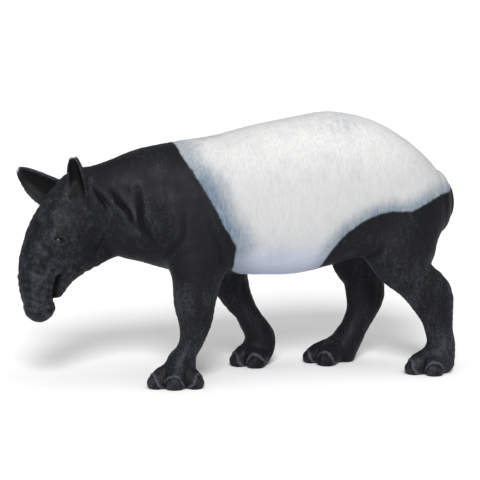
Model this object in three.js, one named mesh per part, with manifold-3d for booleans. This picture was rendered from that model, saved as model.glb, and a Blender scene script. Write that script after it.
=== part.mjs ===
import * as THREE from "three";
import { mergeVertices } from "three/addons/utils/BufferGeometryUtils.js";
import Module from "manifold-3d";

// A toy figure of a Malayan tapir that walks with its head lowered, moulded solid and painted by hand.
// Millimetres. The figure faces -X, its left side faces -Y, +Z is up and its soles stand at z = 0.
// The whole skin is one rounded form, a signed distance built from a few chains of sections. Each node
// is the stretch of that form inside its own region, and neighbours are parted by thin straight cuts.

const wasm = await Module();
wasm.setup();

// Driving dimensions
const CUT = 0.3;
const HEAD_TURN = 10;
const HEAD_PIVOT = [-44, 0];
const EYE_RADIUS = 1.3;
const EYE_CENTRE = [-55.6, 6.7, 43.3];
const NOSTRIL = { centre: [-61.2, 1.9, 21], radius: 0.85 };
const HALF_SPAN = 30;
const FORE_LEG_TOP = 28.6;
const HIND_LEG_TOP = 30.5;
const FOOT_TOP = 8.2;

// The trunk of the body, from the nape to the rump: x, top, bottom, half-width
const BARREL = [
  [-44, 62.3, 43, 7.6],
  [-36, 65.3, 37.2, 9.2],
  [-28, 68, 34.7, 11.2],
  [-18, 69.6, 31.8, 14],
  [-6, 71.2, 31, 16.2],
  [6, 73.8, 30, 17.6],
  [18, 76, 30, 18.2],
  [29, 77.4, 32.2, 17.8],
  [41, 74.8, 35, 16.4],
  [51, 69.5, 38, 14],
  [58, 63.7, 38.8, 11.4],
  [62, 59.4, 40.4, 9],
];
const BARREL_CAPS = [8, 4.2];
const BARREL_EGG = 0.1;
const BARREL_SQUARENESS = 2.3;

// Chains of sections: x, y, z, half-depth fore and aft, half-width across
const SKULL = [
  [-43.5, 0, 50.5, 11.6, 8.2],
  [-47.8, 0, 46.4, 12, 8.7],
  [-51.5, 0, 42.3, 11.1, 8.1],
  [-54.9, 0, 38.1, 9.4, 6.8],
  [-57.5, 0, 33.5, 7.6, 5.6],
  [-59, 0, 29, 5.8, 4.8],
  [-59.2, 0, 25.2, 4.6, 4.3],
  [-58.9, 0, 22.5, 4.5, 4.3],
];
const JAW = [
  [-40, 0, 42, 6.8, 5.8],
  [-44.8, 0, 39.2, 5.8, 5.8],
  [-48.9, 0, 36.6, 5.1, 5],
  [-52.2, 0, 31.8, 3.2, 4],
  [-53.8, 0, 27.4, 1.9, 3],
];
const TAIL = [
  [62.6, 0, 56, 2.2, 2.4],
  [65.2, 0, 53.2, 2, 2.1],
  [66.3, 0, 50, 1.8, 1.9],
  [66.2, 0, 46.8, 1.6, 1.7],
  [65, 0, 43.8, 1.1, 1.3],
];
const LEGS = {
  fore_left: [
    [-15, -7.4, 52, 11, 6.4],
    [-14, -10.9, 40, 9.7, 6.3],
    [-14.6, -12.4, 32, 7.4, 5.8],
    [-15.4, -13, 25, 6.3, 5],
    [-15.4, -13.2, 18.5, 4.8, 4.2],
    [-16.5, -13.3, 13.4, 3.6, 3.6],
    [-18.1, -13.1, 9.8, 3.3, 3.6],
    [-19.6, -13, 6.4, 4.4, 4.2],
    [-20.4, -12.8, 3.2, 5, 4.6],
  ],
  fore_right: [
    [-12, 7.4, 52, 11, 6.4],
    [-6, 11, 39, 9, 6.3],
    [-0.2, 12.2, 30, 6.6, 5.5],
    [3.4, 12.6, 22, 4.8, 4.4],
    [6.6, 12.7, 16.5, 3.6, 3.9],
    [9.2, 12.7, 12.3, 3.9, 4],
    [11, 12.7, 8.6, 4.5, 4.2],
    [10.8, 12.7, 5.6, 4.9, 4.3],
    [9.8, 12.7, 3.2, 4.7, 4.5],
  ],
  hind_left: [
    [49.5, -6.4, 48, 12.4, 7.4],
    [47.4, -10.4, 39.5, 11.4, 7.4],
    [47.7, -12, 33.5, 8.2, 6.4],
    [51.7, -12.4, 28.3, 6.5, 5.2],
    [56.4, -12.6, 23.5, 6.7, 4.6],
    [58.3, -12.8, 18, 5.2, 4],
    [59.3, -12.9, 12.5, 4.2, 3.6],
    [59.8, -13, 8.5, 4.3, 3.8],
    [58.8, -12.8, 3.4, 5.2, 4.6],
  ],
  hind_right: [
    [46, 6.4, 48, 12.4, 7.4],
    [42.8, 10.4, 39, 11.2, 7.4],
    [42.2, 12, 32, 8.6, 6.2],
    [43.6, 12.4, 26, 6.4, 5],
    [44.5, 12.5, 20.5, 6.1, 4.4],
    [43.4, 12.4, 15.5, 4.8, 4],
    [41.2, 12.1, 11, 4.1, 3.7],
    [39.1, 11.6, 7.6, 4.3, 4],
    [36.3, 11.2, 3.4, 5, 4.6],
  ],
};

// Toes of each foot, as the compass direction of the toe seen from above and its reach from the heel:
// angle off straight ahead in degrees (positive towards the outer side), reach, size
const FEET = {
  fore_left: {
    centre: [-20.2, -12.8],
    side: -1,
    toes: [
      [8, 7.4, 1.05],
      [-42, 6.2, 0.95],
      [61, 4.8, 1.1],
      [134, 6, 1],
    ],
  },
  fore_right: {
    centre: [10, 12.7],
    side: 1,
    toes: [
      [-6, 6.2, 1.05],
      [-72, 5.2, 1.08],
      [46, 5.8, 0.95],
      [108, 4.8, 0.86],
    ],
  },
  hind_left: {
    centre: [57.8, -12.8],
    side: -1,
    toes: [
      [2, 6.8, 1.1],
      [-50, 5.8, 0.98],
      [72, 4.8, 1.05],
    ],
  },
  hind_right: {
    centre: [34.9, 11.2],
    side: 1,
    toes: [
      [4, 8.4, 1],
      [-47, 7.4, 1.1],
      [48, 6, 0.95],
    ],
  },
};
const TOE_ROOT = { height: 4.4, depth: 3.4, width: 3 };
const TOE_KNUCKLE = { along: 0.6, height: 3, depth: 3.2, width: 2.9 };
const TOE_TIP = { back: 0.2, height: 1.3, depth: 2.5, width: 2.6 };

// Ears: root, tip, the way the cup opens, its size, the sideways bow of its middle line and how blunt it ends
const EARS = {
  left: {
    root: [-47.6, -6.6, 54],
    tip: [-49.8, -8.2, 67.1],
    facing: [-0.6, -0.8, 0.1],
    halfWidth: 2.9,
    cupDepth: 2.3,
    bow: 0,
    bluntness: 0.5,
  },
  right: {
    root: [-49.4, 1.8, 53.4],
    tip: [-62.6, 11.2, 61.9],
    facing: [-0.62, -0.78, 0],
    halfWidth: 4.8,
    cupDepth: 2.2,
    bow: -1.2,
    bluntness: 0.6,
  },
};
const EAR = { thickness: 1.5, edge: 1.6, sunk: 3, rootShare: 0.3, rings: 12, sides: 16, tipStart: 0.97 };

// How long the rounded ends of each chain are, as shares of the depth there: first end, last end
const CAPS = { skull: [0.8, 0.25], jaw: [0.8, 0.8], leg: [0.5, 0.75], toe: [1, 0.85], tail: [1, 1] };

// Widths of the rounded joins, and how far from the head and each leg they are worked out
const JOINS = { throat: 1.4, nape: 5, jaw: 1.6, leg: 4.5, toe: 0.9 };
const THROAT_TO_NAPE = [40, 50];
const HEAD_REACH = -30;
const LEG_REACH = 24;
const TOE_REACH = 12;

// Paint edges seen from the side, x and z from the back down to the belly
const SHOULDER_EDGE_LEFT = [
  [-18.9, 90],
  [-18.9, 69.5],
  [-17.9, 66],
  [-15, 61],
  [-12.9, 57],
  [-10.2, 52],
  [-7.8, 47],
  [-5.3, 42.8],
  [-3.8, 40],
  [-4, 36.4],
  [-3.6, 33],
  [-3.2, FORE_LEG_TOP + CUT / 2],
];
const SHOULDER_EDGE_RIGHT = [
  [-18.9, 90],
  [-18.9, 69.5],
  [-17.5, 66],
  [-13.6, 61],
  [-10.2, 57],
  [-5.4, 52],
  [-0.6, 47],
  [3.4, 42.8],
  [6, 40],
  [8.6, 36.4],
  [10, 33],
  [10.6, FORE_LEG_TOP + CUT / 2],
];
const HAUNCH_EDGE = [
  [90, 54.4],
  [66, 53.6],
  [61.5, 53],
  [57, 51.8],
  [53.5, 50.4],
  [50, 49],
  [47, 48.8],
  [43.6, 49.2],
  [40.2, 48.7],
  [36.4, 47.6],
  [32.8, 46.1],
  [29.6, 43.7],
  [26.9, 40.9],
  [24.9, 38],
  [23.6, 34.8],
  [23.4, FORE_LEG_TOP + CUT / 2],
];

// Straight cuts behind the skull and before the shoulders, and in the head's own frame the cut across
// the trunk, which runs on down the mouth and under the lower lip
const HEAD_EDGE = [
  [-40.6, 90],
  [-38, 28],
];
const NECK_EDGE = [
  [-22, 90],
  [-27, FORE_LEG_TOP + CUT / 2],
];
const MOUTH_EDGE = [
  [-90, 38],
  [-57, 33.6],
  [-55.2, 31],
  [-55.7, 27],
  [-54.4, 24.9],
  [-46, 23],
];
const MOUTH_GAP = 0.6;

// Vectors as plain lists
const add = (a, b, scale = 1) => a.map((value, i) => value + b[i] * scale);
const dot = (a, b) => a[0] * b[0] + a[1] * b[1] + a[2] * b[2];
const cross = (a, b) => [a[1] * b[2] - a[2] * b[1], a[2] * b[0] - a[0] * b[2], a[0] * b[1] - a[1] * b[0]];
const unit = (a) => a.map((value) => value / Math.hypot(...a));
const clamp = (value, low, high) => Math.min(high, Math.max(low, value));

// The nearer of two forms, with a rounded join of width k
const join = (a, b, k) => Math.min(a, b) - Math.max(k - Math.abs(a - b), 0) ** 2 / (4 * k);

// A smooth curve through rows of numbers, as more rows.
function smoothRows(rows, perSpan) {
  const first = add(rows[0], add(rows[0], rows[1], -1));
  const last = add(rows.at(-1), add(rows.at(-1), rows.at(-2), -1));
  const all = [first, ...rows, last];
  const made = [];
  for (let i = 1; i < all.length - 2; i++) {
    for (let j = 0; j < perSpan; j++) {
      const t = j / perSpan;
      made.push(
        all[i].map((b, k) => {
          const [a, c, d] = [all[i - 1][k], all[i + 1][k], all[i + 2][k]];
          const bend = (2 * a - 5 * b + 4 * c - d) * t + (3 * b - a - 3 * c + d) * t * t;
          return b + 0.5 * t * (c - a + bend);
        }),
      );
    }
  }
  return [...made, rows.at(-1)];
}

// A limb: a chain of oval sections, each as deep and wide as its row says, with rounded ends.
function chain(rows, capShares) {
  const points = smoothRows(rows, 3);
  const pieces = points.slice(1).map((end, i) => {
    const start = points[i];
    const span = add(end, start, -1).slice(0, 3);
    const length = Math.hypot(...span);
    const along = unit(span);
    const deep = unit([-along[2], 0, along[0]]);
    return { start, end, length, along, deep, wide: cross(along, deep) };
  });
  return (x, y, z) => {
    let nearest = Infinity;
    pieces.forEach((piece, i) => {
      const from = [x - piece.start[0], y - piece.start[1], z - piece.start[2]];
      const run = dot(from, piece.along);
      const t = clamp(run / piece.length, 0, 1);
      const past = run - t * piece.length;
      const depth = piece.start[3] + (piece.end[3] - piece.start[3]) * t;
      const width = piece.start[4] + (piece.end[4] - piece.start[4]) * t;
      let cap = depth;
      if (i === 0 && past < 0) cap *= capShares[0];
      if (i === pieces.length - 1 && past > 0) cap *= capShares[1];
      const parts = [dot(from, piece.deep) / depth, dot(from, piece.wide) / width, past / cap];
      const level = Math.hypot(...parts);
      const slope = Math.hypot(parts[0] / depth, parts[1] / width, parts[2] / cap);
      const distance = level < 0.3 ? -0.7 * Math.min(depth, width) : ((level - 1) * level) / slope;
      nearest = Math.min(nearest, distance);
    });
    return nearest;
  };
}

// The barrel: upright sections across X, squarer than an oval and wider low down, with rounded ends.
function barrel(rows) {
  const points = smoothRows(rows, 6);
  const [front, back] = [points[0][0], points.at(-1)[0]];
  const sectionAt = (x) => {
    const at = clamp(x, front, back);
    let i = 1;
    while (i < points.length - 1 && points[i][0] < at) i++;
    const [a, b] = [points[i - 1], points[i]];
    const t = (at - a[0]) / (b[0] - a[0]);
    return a.map((value, k) => value + (b[k] - value) * t);
  };
  const level = (x, y, z) => {
    const [, top, bottom, halfWidth] = sectionAt(x);
    const height = (z - (top + bottom) / 2) / ((top - bottom) / 2);
    const width = halfWidth * (1 - BARREL_EGG * clamp(height, -1, 1));
    const past = x < front ? (front - x) / BARREL_CAPS[0] : Math.max(x - back, 0) / BARREL_CAPS[1];
    const section = Math.abs(height) ** BARREL_SQUARENESS + Math.abs(y / width) ** BARREL_SQUARENESS;
    return Math.hypot(section ** (1 / BARREL_SQUARENESS), past);
  };
  const step = 0.3;
  return (x, y, z) => {
    const here = level(x, y, z);
    const slope = [level(x + step, y, z) - here, level(x, y + step, z) - here, level(x, y, z + step) - here];
    return (here - 1) / (Math.hypot(...slope) / step + 0.002);
  };
}

// One toe: from inside the foot, over the knuckle, to the blunt hoof at the tip.
function toe(foot, [angle, reach, size]) {
  const turn = THREE.MathUtils.degToRad(angle);
  const [cx, cy] = foot.centre;
  const along = (distance) => [cx - Math.cos(turn) * distance, cy + foot.side * Math.sin(turn) * distance];
  const tip = reach - TOE_TIP.back;
  return chain(
    [
      [cx, cy, TOE_ROOT.height, TOE_ROOT.depth, TOE_ROOT.width * size],
      [...along(reach * TOE_KNUCKLE.along), TOE_KNUCKLE.height, TOE_KNUCKLE.depth * size, TOE_KNUCKLE.width * size],
      [...along(tip), TOE_TIP.height, TOE_TIP.depth * size, TOE_TIP.width * size],
    ],
    CAPS.toe,
  );
}

// Turns a point into the head's own frame, where the head looks straight ahead.
const headCos = Math.cos(THREE.MathUtils.degToRad(HEAD_TURN));
const headSin = Math.sin(THREE.MathUtils.degToRad(HEAD_TURN));
function inHead(x, y, z) {
  const [dx, dy] = [x - HEAD_PIVOT[0], y - HEAD_PIVOT[1]];
  return [HEAD_PIVOT[0] + dx * headCos + dy * headSin, HEAD_PIVOT[1] - dx * headSin + dy * headCos, z];
}
function fromHead([x, y, z]) {
  const [dx, dy] = [x - HEAD_PIVOT[0], y - HEAD_PIVOT[1]];
  return [HEAD_PIVOT[0] + dx * headCos - dy * headSin, HEAD_PIVOT[1] + dx * headSin + dy * headCos, z];
}

// Soft swellings and hollows of the head, on both sides: x, y, z, radius, height
const HEAD_SWELLS = [
  [-55.5, 7, 45.4, 2.6, 0.7],
  [-56.6, 6.6, 40, 2, 0.35],
  [-49, 8.4, 41, 4.5, 0.7],
  [-44.6, 4.6, 58.2, 3.4, 0.8],
  [-60.6, 3.4, 22, 2.2, 0.5],
  [-56.8, 3.6, 21, 2, 0.15],
  [-59.8, 4.4, 33.6, 3.4, -0.3],
];
const swellOf = (rows, x, y, z) => {
  let height = 0;
  for (const [sx, sy, sz, radius, rise] of rows) {
    const gap = ((x - sx) ** 2 + (Math.abs(y) - sy) ** 2 + (z - sz) ** 2) / radius ** 2;
    if (gap < 9) height += rise * Math.exp(-gap);
  }
  return height;
};

const trunkForm = barrel(BARREL);
const skullForm = chain(SKULL, CAPS.skull);
const jawForm = chain(JAW, CAPS.jaw);
const legForms = Object.fromEntries(
  Object.entries(LEGS).map(([name, rows]) => [name, chain(rows, CAPS.leg)]),
);
const toeForms = Object.fromEntries(
  Object.entries(FEET).map(([name, foot]) => [name, foot.toes.map((row) => toe(foot, row))]),
);

function headForm(x, y, z) {
  const local = inHead(x, y, z);
  return join(skullForm(...local), jawForm(...local), JOINS.jaw) - swellOf(HEAD_SWELLS, ...local);
}

// The whole skin without ears and tail.
function skin(x, y, z) {
  let form = trunkForm(x, y, z);
  if (x < HEAD_REACH) {
    const rise = THREE.MathUtils.smoothstep(z, ...THROAT_TO_NAPE);
    form = join(form, headForm(x, y, z), JOINS.throat + rise * (JOINS.nape - JOINS.throat));
  }
  for (const name of Object.keys(LEGS)) {
    const middle = LEGS[name][3][0];
    if (Math.abs(x - middle) > LEG_REACH) continue;
    form = join(form, legForms[name](x, y, z), JOINS.leg);
    if (z > TOE_REACH) continue;
    for (const toeForm of toeForms[name]) form = join(form, toeForm(x, y, z), JOINS.toe);
  }
  return form;
}

// Surface nets: one vertex in each cell that the surface crosses, drawn onto the surface itself.
function surfaceNet(field, low, high, cell) {
  const count = low.map((value, i) => Math.ceil((high[i] - value) / cell) + 1);
  const at = (i, j, k) => (i * count[1] + j) * count[2] + k;
  const value = new Float64Array(count[0] * count[1] * count[2]);
  for (let i = 0; i < count[0]; i++) {
    for (let j = 0; j < count[1]; j++) {
      for (let k = 0; k < count[2]; k++) {
        const edge = i * j * k === 0 || i === count[0] - 1 || j === count[1] - 1 || k === count[2] - 1;
        value[at(i, j, k)] = edge ? cell : field(low[0] + i * cell, low[1] + j * cell, low[2] + k * cell);
      }
    }
  }
  fillPinches(value, count, cell);
  const corners = [0, 1, 2, 3, 4, 5, 6, 7].map((bits) => [bits & 1, (bits >> 1) & 1, bits >> 2]);
  const pairs = corners.flatMap((a, m) =>
    [0, 1, 2].filter((axis) => !a[axis]).map((axis) => [m, m | (1 << axis), axis]),
  );
  const vertexOf = new Int32Array(value.length).fill(-1);
  const vertices = [];
  for (let i = 0; i < count[0] - 1; i++) {
    for (let j = 0; j < count[1] - 1; j++) {
      for (let k = 0; k < count[2] - 1; k++) {
        const levels = corners.map(([a, b, c]) => value[at(i + a, j + b, k + c)]);
        let crossings = 0;
        const sum = [0, 0, 0];
        for (const [m, n, axis] of pairs) {
          if (levels[m] < 0 === levels[n] < 0) continue;
          crossings++;
          corners[m].forEach((bit, q) => (sum[q] += bit));
          sum[axis] += levels[m] / (levels[m] - levels[n]);
        }
        if (!crossings) continue;
        vertexOf[at(i, j, k)] = vertices.length / 3;
        [i, j, k].forEach((index, q) => vertices.push(low[q] + (index + sum[q] / crossings) * cell));
      }
    }
  }
  drawOntoSurface(field, vertices, 0.4 * cell);
  const faces = [];
  const quad = (a, b, c, d, flip) => {
    const ring = [a, b, c, d].map((index) => vertices.slice(3 * index, 3 * index + 3));
    const [ac, bd] = [add(ring[0], ring[2], -1), add(ring[1], ring[3], -1)].map((span) => Math.hypot(...span));
    const pair = ac < bd ? [a, b, c, a, c, d] : [a, b, d, b, c, d];
    faces.push(...(flip ? pair.reverse() : pair));
  };
  for (let i = 0; i < count[0] - 1; i++) {
    for (let j = 0; j < count[1] - 1; j++) {
      for (let k = 0; k < count[2] - 1; k++) {
        const here = value[at(i, j, k)] < 0;
        const v = (a, b, c) => vertexOf[at(i - a, j - b, k - c)];
        if (here !== value[at(i + 1, j, k)] < 0) quad(v(0, 1, 1), v(0, 0, 1), v(0, 0, 0), v(0, 1, 0), !here);
        if (here !== value[at(i, j + 1, k)] < 0) quad(v(1, 0, 1), v(1, 0, 0), v(0, 0, 0), v(0, 0, 1), !here);
        if (here !== value[at(i, j, k + 1)] < 0) quad(v(1, 1, 0), v(0, 1, 0), v(0, 0, 0), v(1, 0, 0), !here);
      }
    }
  }
  return { vertices: new Float32Array(vertices), faces: new Uint32Array(faces) };
}

// Fills one outer corner of each grid square whose inner corners meet only across its diagonal, so that
// the net never touches itself along an edge.
function fillPinches(value, count, cell) {
  const stride = [count[1] * count[2], count[2], 1];
  const planes = [
    [0, 1, 2],
    [1, 2, 0],
    [2, 0, 1],
  ];
  let filled = true;
  while (filled) {
    filled = false;
    for (const [a, b, c] of planes) {
      for (let i = 0; i < count[a] - 1; i++) {
        for (let j = 0; j < count[b] - 1; j++) {
          for (let k = 0; k < count[c]; k++) {
            const n = i * stride[a] + j * stride[b] + k * stride[c];
            const [far, right, left] = [n + stride[a] + stride[b], n + stride[a], n + stride[b]];
            const inside = value[n] < 0;
            if (inside !== value[far] < 0 || inside === value[right] < 0 || inside === value[left] < 0) continue;
            const outer = inside ? [right, left] : [n, far];
            value[value[outer[0]] < value[outer[1]] ? outer[0] : outer[1]] = -0.05 * cell;
            filled = true;
          }
        }
      }
    }
  }
}

// Moves each vertex along the slope of the form, twice, by no more than the reach.
function drawOntoSurface(field, vertices, reach) {
  const step = 0.05;
  for (let n = 0; n < vertices.length; n += 3) {
    const start = vertices.slice(n, n + 3);
    let point = start;
    for (let round = 0; round < 2; round++) {
      const here = field(...point);
      const slope = [0, 1, 2].map((axis) => {
        const [ahead, behind] = [[...point], [...point]];
        ahead[axis] += step;
        behind[axis] -= step;
        return (field(...ahead) - field(...behind)) / (2 * step);
      });
      const steep = Math.max(dot(slope, slope), 0.25);
      point = add(point, slope, -here / steep);
    }
    for (let axis = 0; axis < 3; axis++) {
      vertices[n + axis] = start[axis] + clamp(point[axis] - start[axis], -reach, reach);
    }
  }
}

const solidFrom = ({ vertices, faces }) =>
  new wasm.Manifold(new wasm.Mesh({ numProp: 3, vertProperties: vertices, triVerts: faces }));

// A closed three.js geometry as a solid.
function solidOfGeometry(geometry) {
  geometry.deleteAttribute("normal");
  geometry.deleteAttribute("uv");
  const merged = mergeVertices(geometry, 1e-4);
  return solidFrom({
    vertices: merged.attributes.position.array,
    faces: new Uint32Array(merged.index.array),
  });
}

function box(low, high) {
  const size = add(high, low, -1);
  const geometry = new THREE.BoxGeometry(...size);
  geometry.translate(...low.map((value, i) => value + size[i] / 2));
  return solidOfGeometry(geometry);
}

// A solid drawn across Y through outlines of x and z, each at its own y.
function curtain(sections, place = (point) => point) {
  const flat = (outline) => outline.map(([x, z]) => new THREE.Vector2(x, z));
  const clockwise = THREE.ShapeUtils.isClockWise(flat(sections[0].outline));
  const rings = sections.map(({ outline }) => (clockwise ? [...outline].reverse() : outline));
  const count = rings[0].length;
  const vertices = rings.flatMap((ring, s) => ring.flatMap(([x, z]) => place([x, sections[s].y, z])));
  const faces = [];
  for (let start = 0; start < vertices.length / 3 - count; start += count) {
    for (let i = 0; i < count; i++) {
      const [a, b] = [start + i, start + ((i + 1) % count)];
      faces.push(a, b + count, b, a, a + count, b + count);
    }
  }
  const last = vertices.length / 3 - count;
  for (const [a, b, c] of THREE.ShapeUtils.triangulateShape(flat(rings[0]), [])) faces.push(a, b, c);
  for (const [a, b, c] of THREE.ShapeUtils.triangulateShape(flat(rings.at(-1)), [])) {
    faces.push(last + a, last + c, last + b);
  }
  return solidFrom({ vertices: new Float32Array(vertices), faces: new Uint32Array(faces) });
}
const acrossY = (outline, low = -HALF_SPAN, high = HALF_SPAN, place) =>
  curtain([low, high].map((y) => ({ y, outline })), place);

// The outline of a blade that follows a line of points.
function bladeOutline(line, thickness) {
  const offset = (sign) =>
    line.map(([x, z], i) => {
      const [before, after] = [line[Math.max(i - 1, 0)], line[Math.min(i + 1, line.length - 1)]];
      const [dx, dz] = add(after, before, -1);
      const half = (sign * thickness) / 2 / Math.hypot(dx, dz);
      return [x - dz * half, z + dx * half];
    });
  return [...offset(1), ...offset(-1).reverse()];
}

// A form inside a box, as a solid of cells of one size.
const netSolid = (field, low, high, cell) => solidFrom(surfaceNet(field, low, high, cell));
const largestOf = (solid) => solid.decompose().reduce((a, b) => (a.volume() > b.volume() ? a : b));

// An ear: crescent rings from the root to the tip, open towards where the ear faces.
function earLoft({ root, tip, facing, halfWidth, cupDepth, bow, bluntness }) {
  const span = add(tip, root, -1);
  const along = unit(span);
  const open = unit(add(facing, along, -dot(facing, along)));
  const across = cross(along, open);
  const buried = -EAR.sunk / Math.hypot(...span);
  const vertices = add(root, span, buried);
  for (let ring = 0; ring <= EAR.rings; ring++) {
    const t = buried + (ring / EAR.rings) * (EAR.tipStart - buried);
    const shown = Math.max(t, 0);
    const swell = Math.sin(Math.PI * (EAR.rootShare + (1 - EAR.rootShare) * shown)) ** bluntness;
    for (let side = 0; side < EAR.sides; side++) {
      const angle = (2 * Math.PI * side) / EAR.sides;
      const s = bow * Math.sin(Math.PI * shown) + halfWidth * swell * Math.cos(angle);
      const cup = -cupDepth * swell * Math.sin(angle) ** 2;
      const thick = (EAR.thickness / 2) * Math.min(1, swell * EAR.edge) * Math.sin(angle);
      vertices.push(...add(add(add(root, span, t), across, s), open, cup + thick));
    }
  }
  vertices.push(...tip);
  const ringAt = (ring, side) => 1 + ring * EAR.sides + (side % EAR.sides);
  const faces = [];
  for (let side = 0; side < EAR.sides; side++) {
    faces.push(0, ringAt(0, side), ringAt(0, side + 1));
    for (let ring = 0; ring < EAR.rings; ring++) {
      const [a, b] = [ringAt(ring, side), ringAt(ring, side + 1)];
      faces.push(a, b + EAR.sides, b, a, a + EAR.sides, b + EAR.sides);
    }
    faces.push(vertices.length / 3 - 1, ringAt(EAR.rings, side + 1), ringAt(EAR.rings, side));
  }
  return solidFrom({ vertices: new Float32Array(vertices), faces: new Uint32Array(faces) });
}

function ball(centre, radius, segments = 16) {
  const geometry = new THREE.SphereGeometry(radius, segments, Math.round(segments * 0.75));
  geometry.translate(...centre);
  return solidOfGeometry(geometry);
}
const bothSides = ([x, y, z]) => [fromHead([x, -y, z]), fromHead([x, y, z])];

// The paint edge of the shoulders lies further back on the right, where the foreleg trails.
const shoulderSections = (outlineOf) => [
  { y: -HALF_SPAN, outline: outlineOf(SHOULDER_EDGE_LEFT) },
  { y: -9, outline: outlineOf(SHOULDER_EDGE_LEFT) },
  { y: 9, outline: outlineOf(SHOULDER_EDGE_RIGHT) },
  { y: HALF_SPAN, outline: outlineOf(SHOULDER_EDGE_RIGHT) },
];
const inHeadFrame = (outline) => acrossY(outline, -HALF_SPAN, HALF_SPAN, fromHead);
const blade = {
  head: acrossY(bladeOutline(HEAD_EDGE, CUT)),
  neck: acrossY(bladeOutline(NECK_EDGE, CUT)),
  shoulder: curtain(shoulderSections((edge) => bladeOutline(edge, CUT))),
  haunch: acrossY(bladeOutline(HAUNCH_EDGE, CUT)),
  mouth: inHeadFrame(bladeOutline(MOUTH_EDGE, MOUTH_GAP)),
};
const back = (edge) => [...edge].reverse();
const [UP, AHEAD, BEHIND, BELOW] = [90, -90, 90, -10];
const trunkRegion = inHeadFrame([...MOUTH_EDGE, [-46, BELOW], [AHEAD, BELOW]]);
const region = {
  head: acrossY([...HEAD_EDGE, [-38, BELOW], [AHEAD, BELOW], [AHEAD, UP]]).subtract(trunkRegion),
  neck: acrossY([...NECK_EDGE, ...back(HEAD_EDGE)]),
  shoulders: curtain(shoulderSections((edge) => [...edge, ...back(NECK_EDGE)])),
  saddle: curtain(shoulderSections((edge) => [...edge, ...back(HAUNCH_EDGE), [BEHIND, UP]])),
};
const haunchOutline = [
  ...HAUNCH_EDGE.slice(0, -1),
  [23.6, HIND_LEG_TOP + CUT / 2],
  [BEHIND, HIND_LEG_TOP + CUT / 2],
];

// A node: the form in its box as a net, kept inside its region and clear of the blades.
function piece(form, { low, high, cell, within, without = [] }) {
  let solid = netSolid(form, low, high, cell);
  if (within) solid = solid.intersect(within);
  for (const cutter of without) solid = solid.subtract(cutter);
  return largestOf(solid);
}
// The ear and tail grow out of the skin, so they stop a cut's width above it.
const skinWithCut = (x, y, z) => skin(x, y, z) - CUT;

const eyes = bothSides(EYE_CENTRE).map((centre) => ball(centre, EYE_RADIUS, 14));
const sockets = bothSides(EYE_CENTRE).map((centre) => ball(centre, EYE_RADIUS + CUT, 12));
const nostrils = bothSides(NOSTRIL.centre).map((centre) => ball(centre, NOSTRIL.radius, 10));

const solids = {
  head: piece(skin, {
    low: [-70, -16, 18],
    high: [-35, 14, 66],
    cell: 2.05,
    within: region.head,
    without: [blade.head, blade.mouth, ...sockets],
  }),
  proboscis: piece(skin, {
    low: [-70, -14, 16],
    high: [-48, 8, 41],
    cell: 1.45,
    within: trunkRegion,
    without: [blade.mouth, ...nostrils],
  }),
  neck: piece(skin, {
    low: [-46, -24, 26],
    high: [-16, 24, 78],
    cell: 2.4,
    within: region.neck,
    without: [blade.head, blade.neck],
  }),
  shoulders: piece(skin, {
    low: [-34, -26, 22],
    high: [19, 26, 80],
    cell: 2.8,
    within: region.shoulders,
    without: [blade.neck, blade.shoulder],
  }),
  saddle: piece(skin, {
    low: [-26, -26, 22],
    high: [76, 26, 86],
    cell: 3.3,
    within: region.saddle,
    without: [blade.shoulder, blade.haunch],
  }),
};
for (const [side, sign] of [["left", -1], ["right", 1]]) {
  const halves = sign < 0 ? [-HALF_SPAN, -CUT / 2] : [CUT / 2, HALF_SPAN];
  const bounds = (x0, x1, z0, z1) => ({
    low: [x0, sign < 0 ? -26 : -5, z0],
    high: [x1, sign < 0 ? 5 : 26, z1],
  });
  const slab = (x0, x1, z0, z1) => box([x0, halves[0], z0], [x1, halves[1], z1]);
  solids[`haunch_${side}`] = piece(skin, {
    ...bounds(18, 76, 24, 62),
    cell: 2.6,
    within: acrossY(haunchOutline, ...halves),
    without: [blade.haunch],
  });
  for (const [end, x0, x1, top] of [["fore", -36, 21, FORE_LEG_TOP], ["hind", 21, 74, HIND_LEG_TOP]]) {
    solids[`${end}_leg_${side}`] = piece(skin, {
      ...bounds(x0, x1, FOOT_TOP - 4, top + 4),
      cell: 2.1,
      within: slab(x0, x1, FOOT_TOP + CUT / 2, top - CUT / 2),
    });
    solids[`${end}_foot_${side}`] = piece(skin, {
      ...bounds(x0, x1, -4, FOOT_TOP + 3),
      cell: 1.5,
      within: slab(x0, x1, 0, FOOT_TOP - CUT / 2),
    });
  }
  const ear = EARS[side];
  const earBox = [0, 1, 2].map((i) => [Math.min(ear.root[i], ear.tip[i]) - 9, Math.max(ear.root[i], ear.tip[i]) + 9]);
  const scalp = netSolid(skinWithCut, earBox.map(([low]) => low), earBox.map(([, high]) => high), 1.3);
  solids[`ear_${side}`] = largestOf(earLoft(ear).subtract(scalp));
  solids[`eye_${side}`] = eyes[sign < 0 ? 0 : 1];
}
const rump = netSolid(skinWithCut, [52, -10, 38], [74, 10, 66], 1.5);
solids.tail = largestOf(netSolid(chain(TAIL, CAPS.tail), [56, -6, 40], [74, 6, 62], 1.1).subtract(rump));

const finishes = {
  black: new THREE.MeshStandardMaterial({ color: 0x28292d, roughness: 0.62, metalness: 0 }),
  white: new THREE.MeshStandardMaterial({ color: 0xe6e7e6, roughness: 0.68, metalness: 0 }),
  eye: new THREE.MeshStandardMaterial({ color: 0x0b0a0a, roughness: 0.12, metalness: 0 }),
};
const finishOf = (name) => finishes[name === "saddle" ? "white" : name.startsWith("eye") ? "eye" : "black"];

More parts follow.
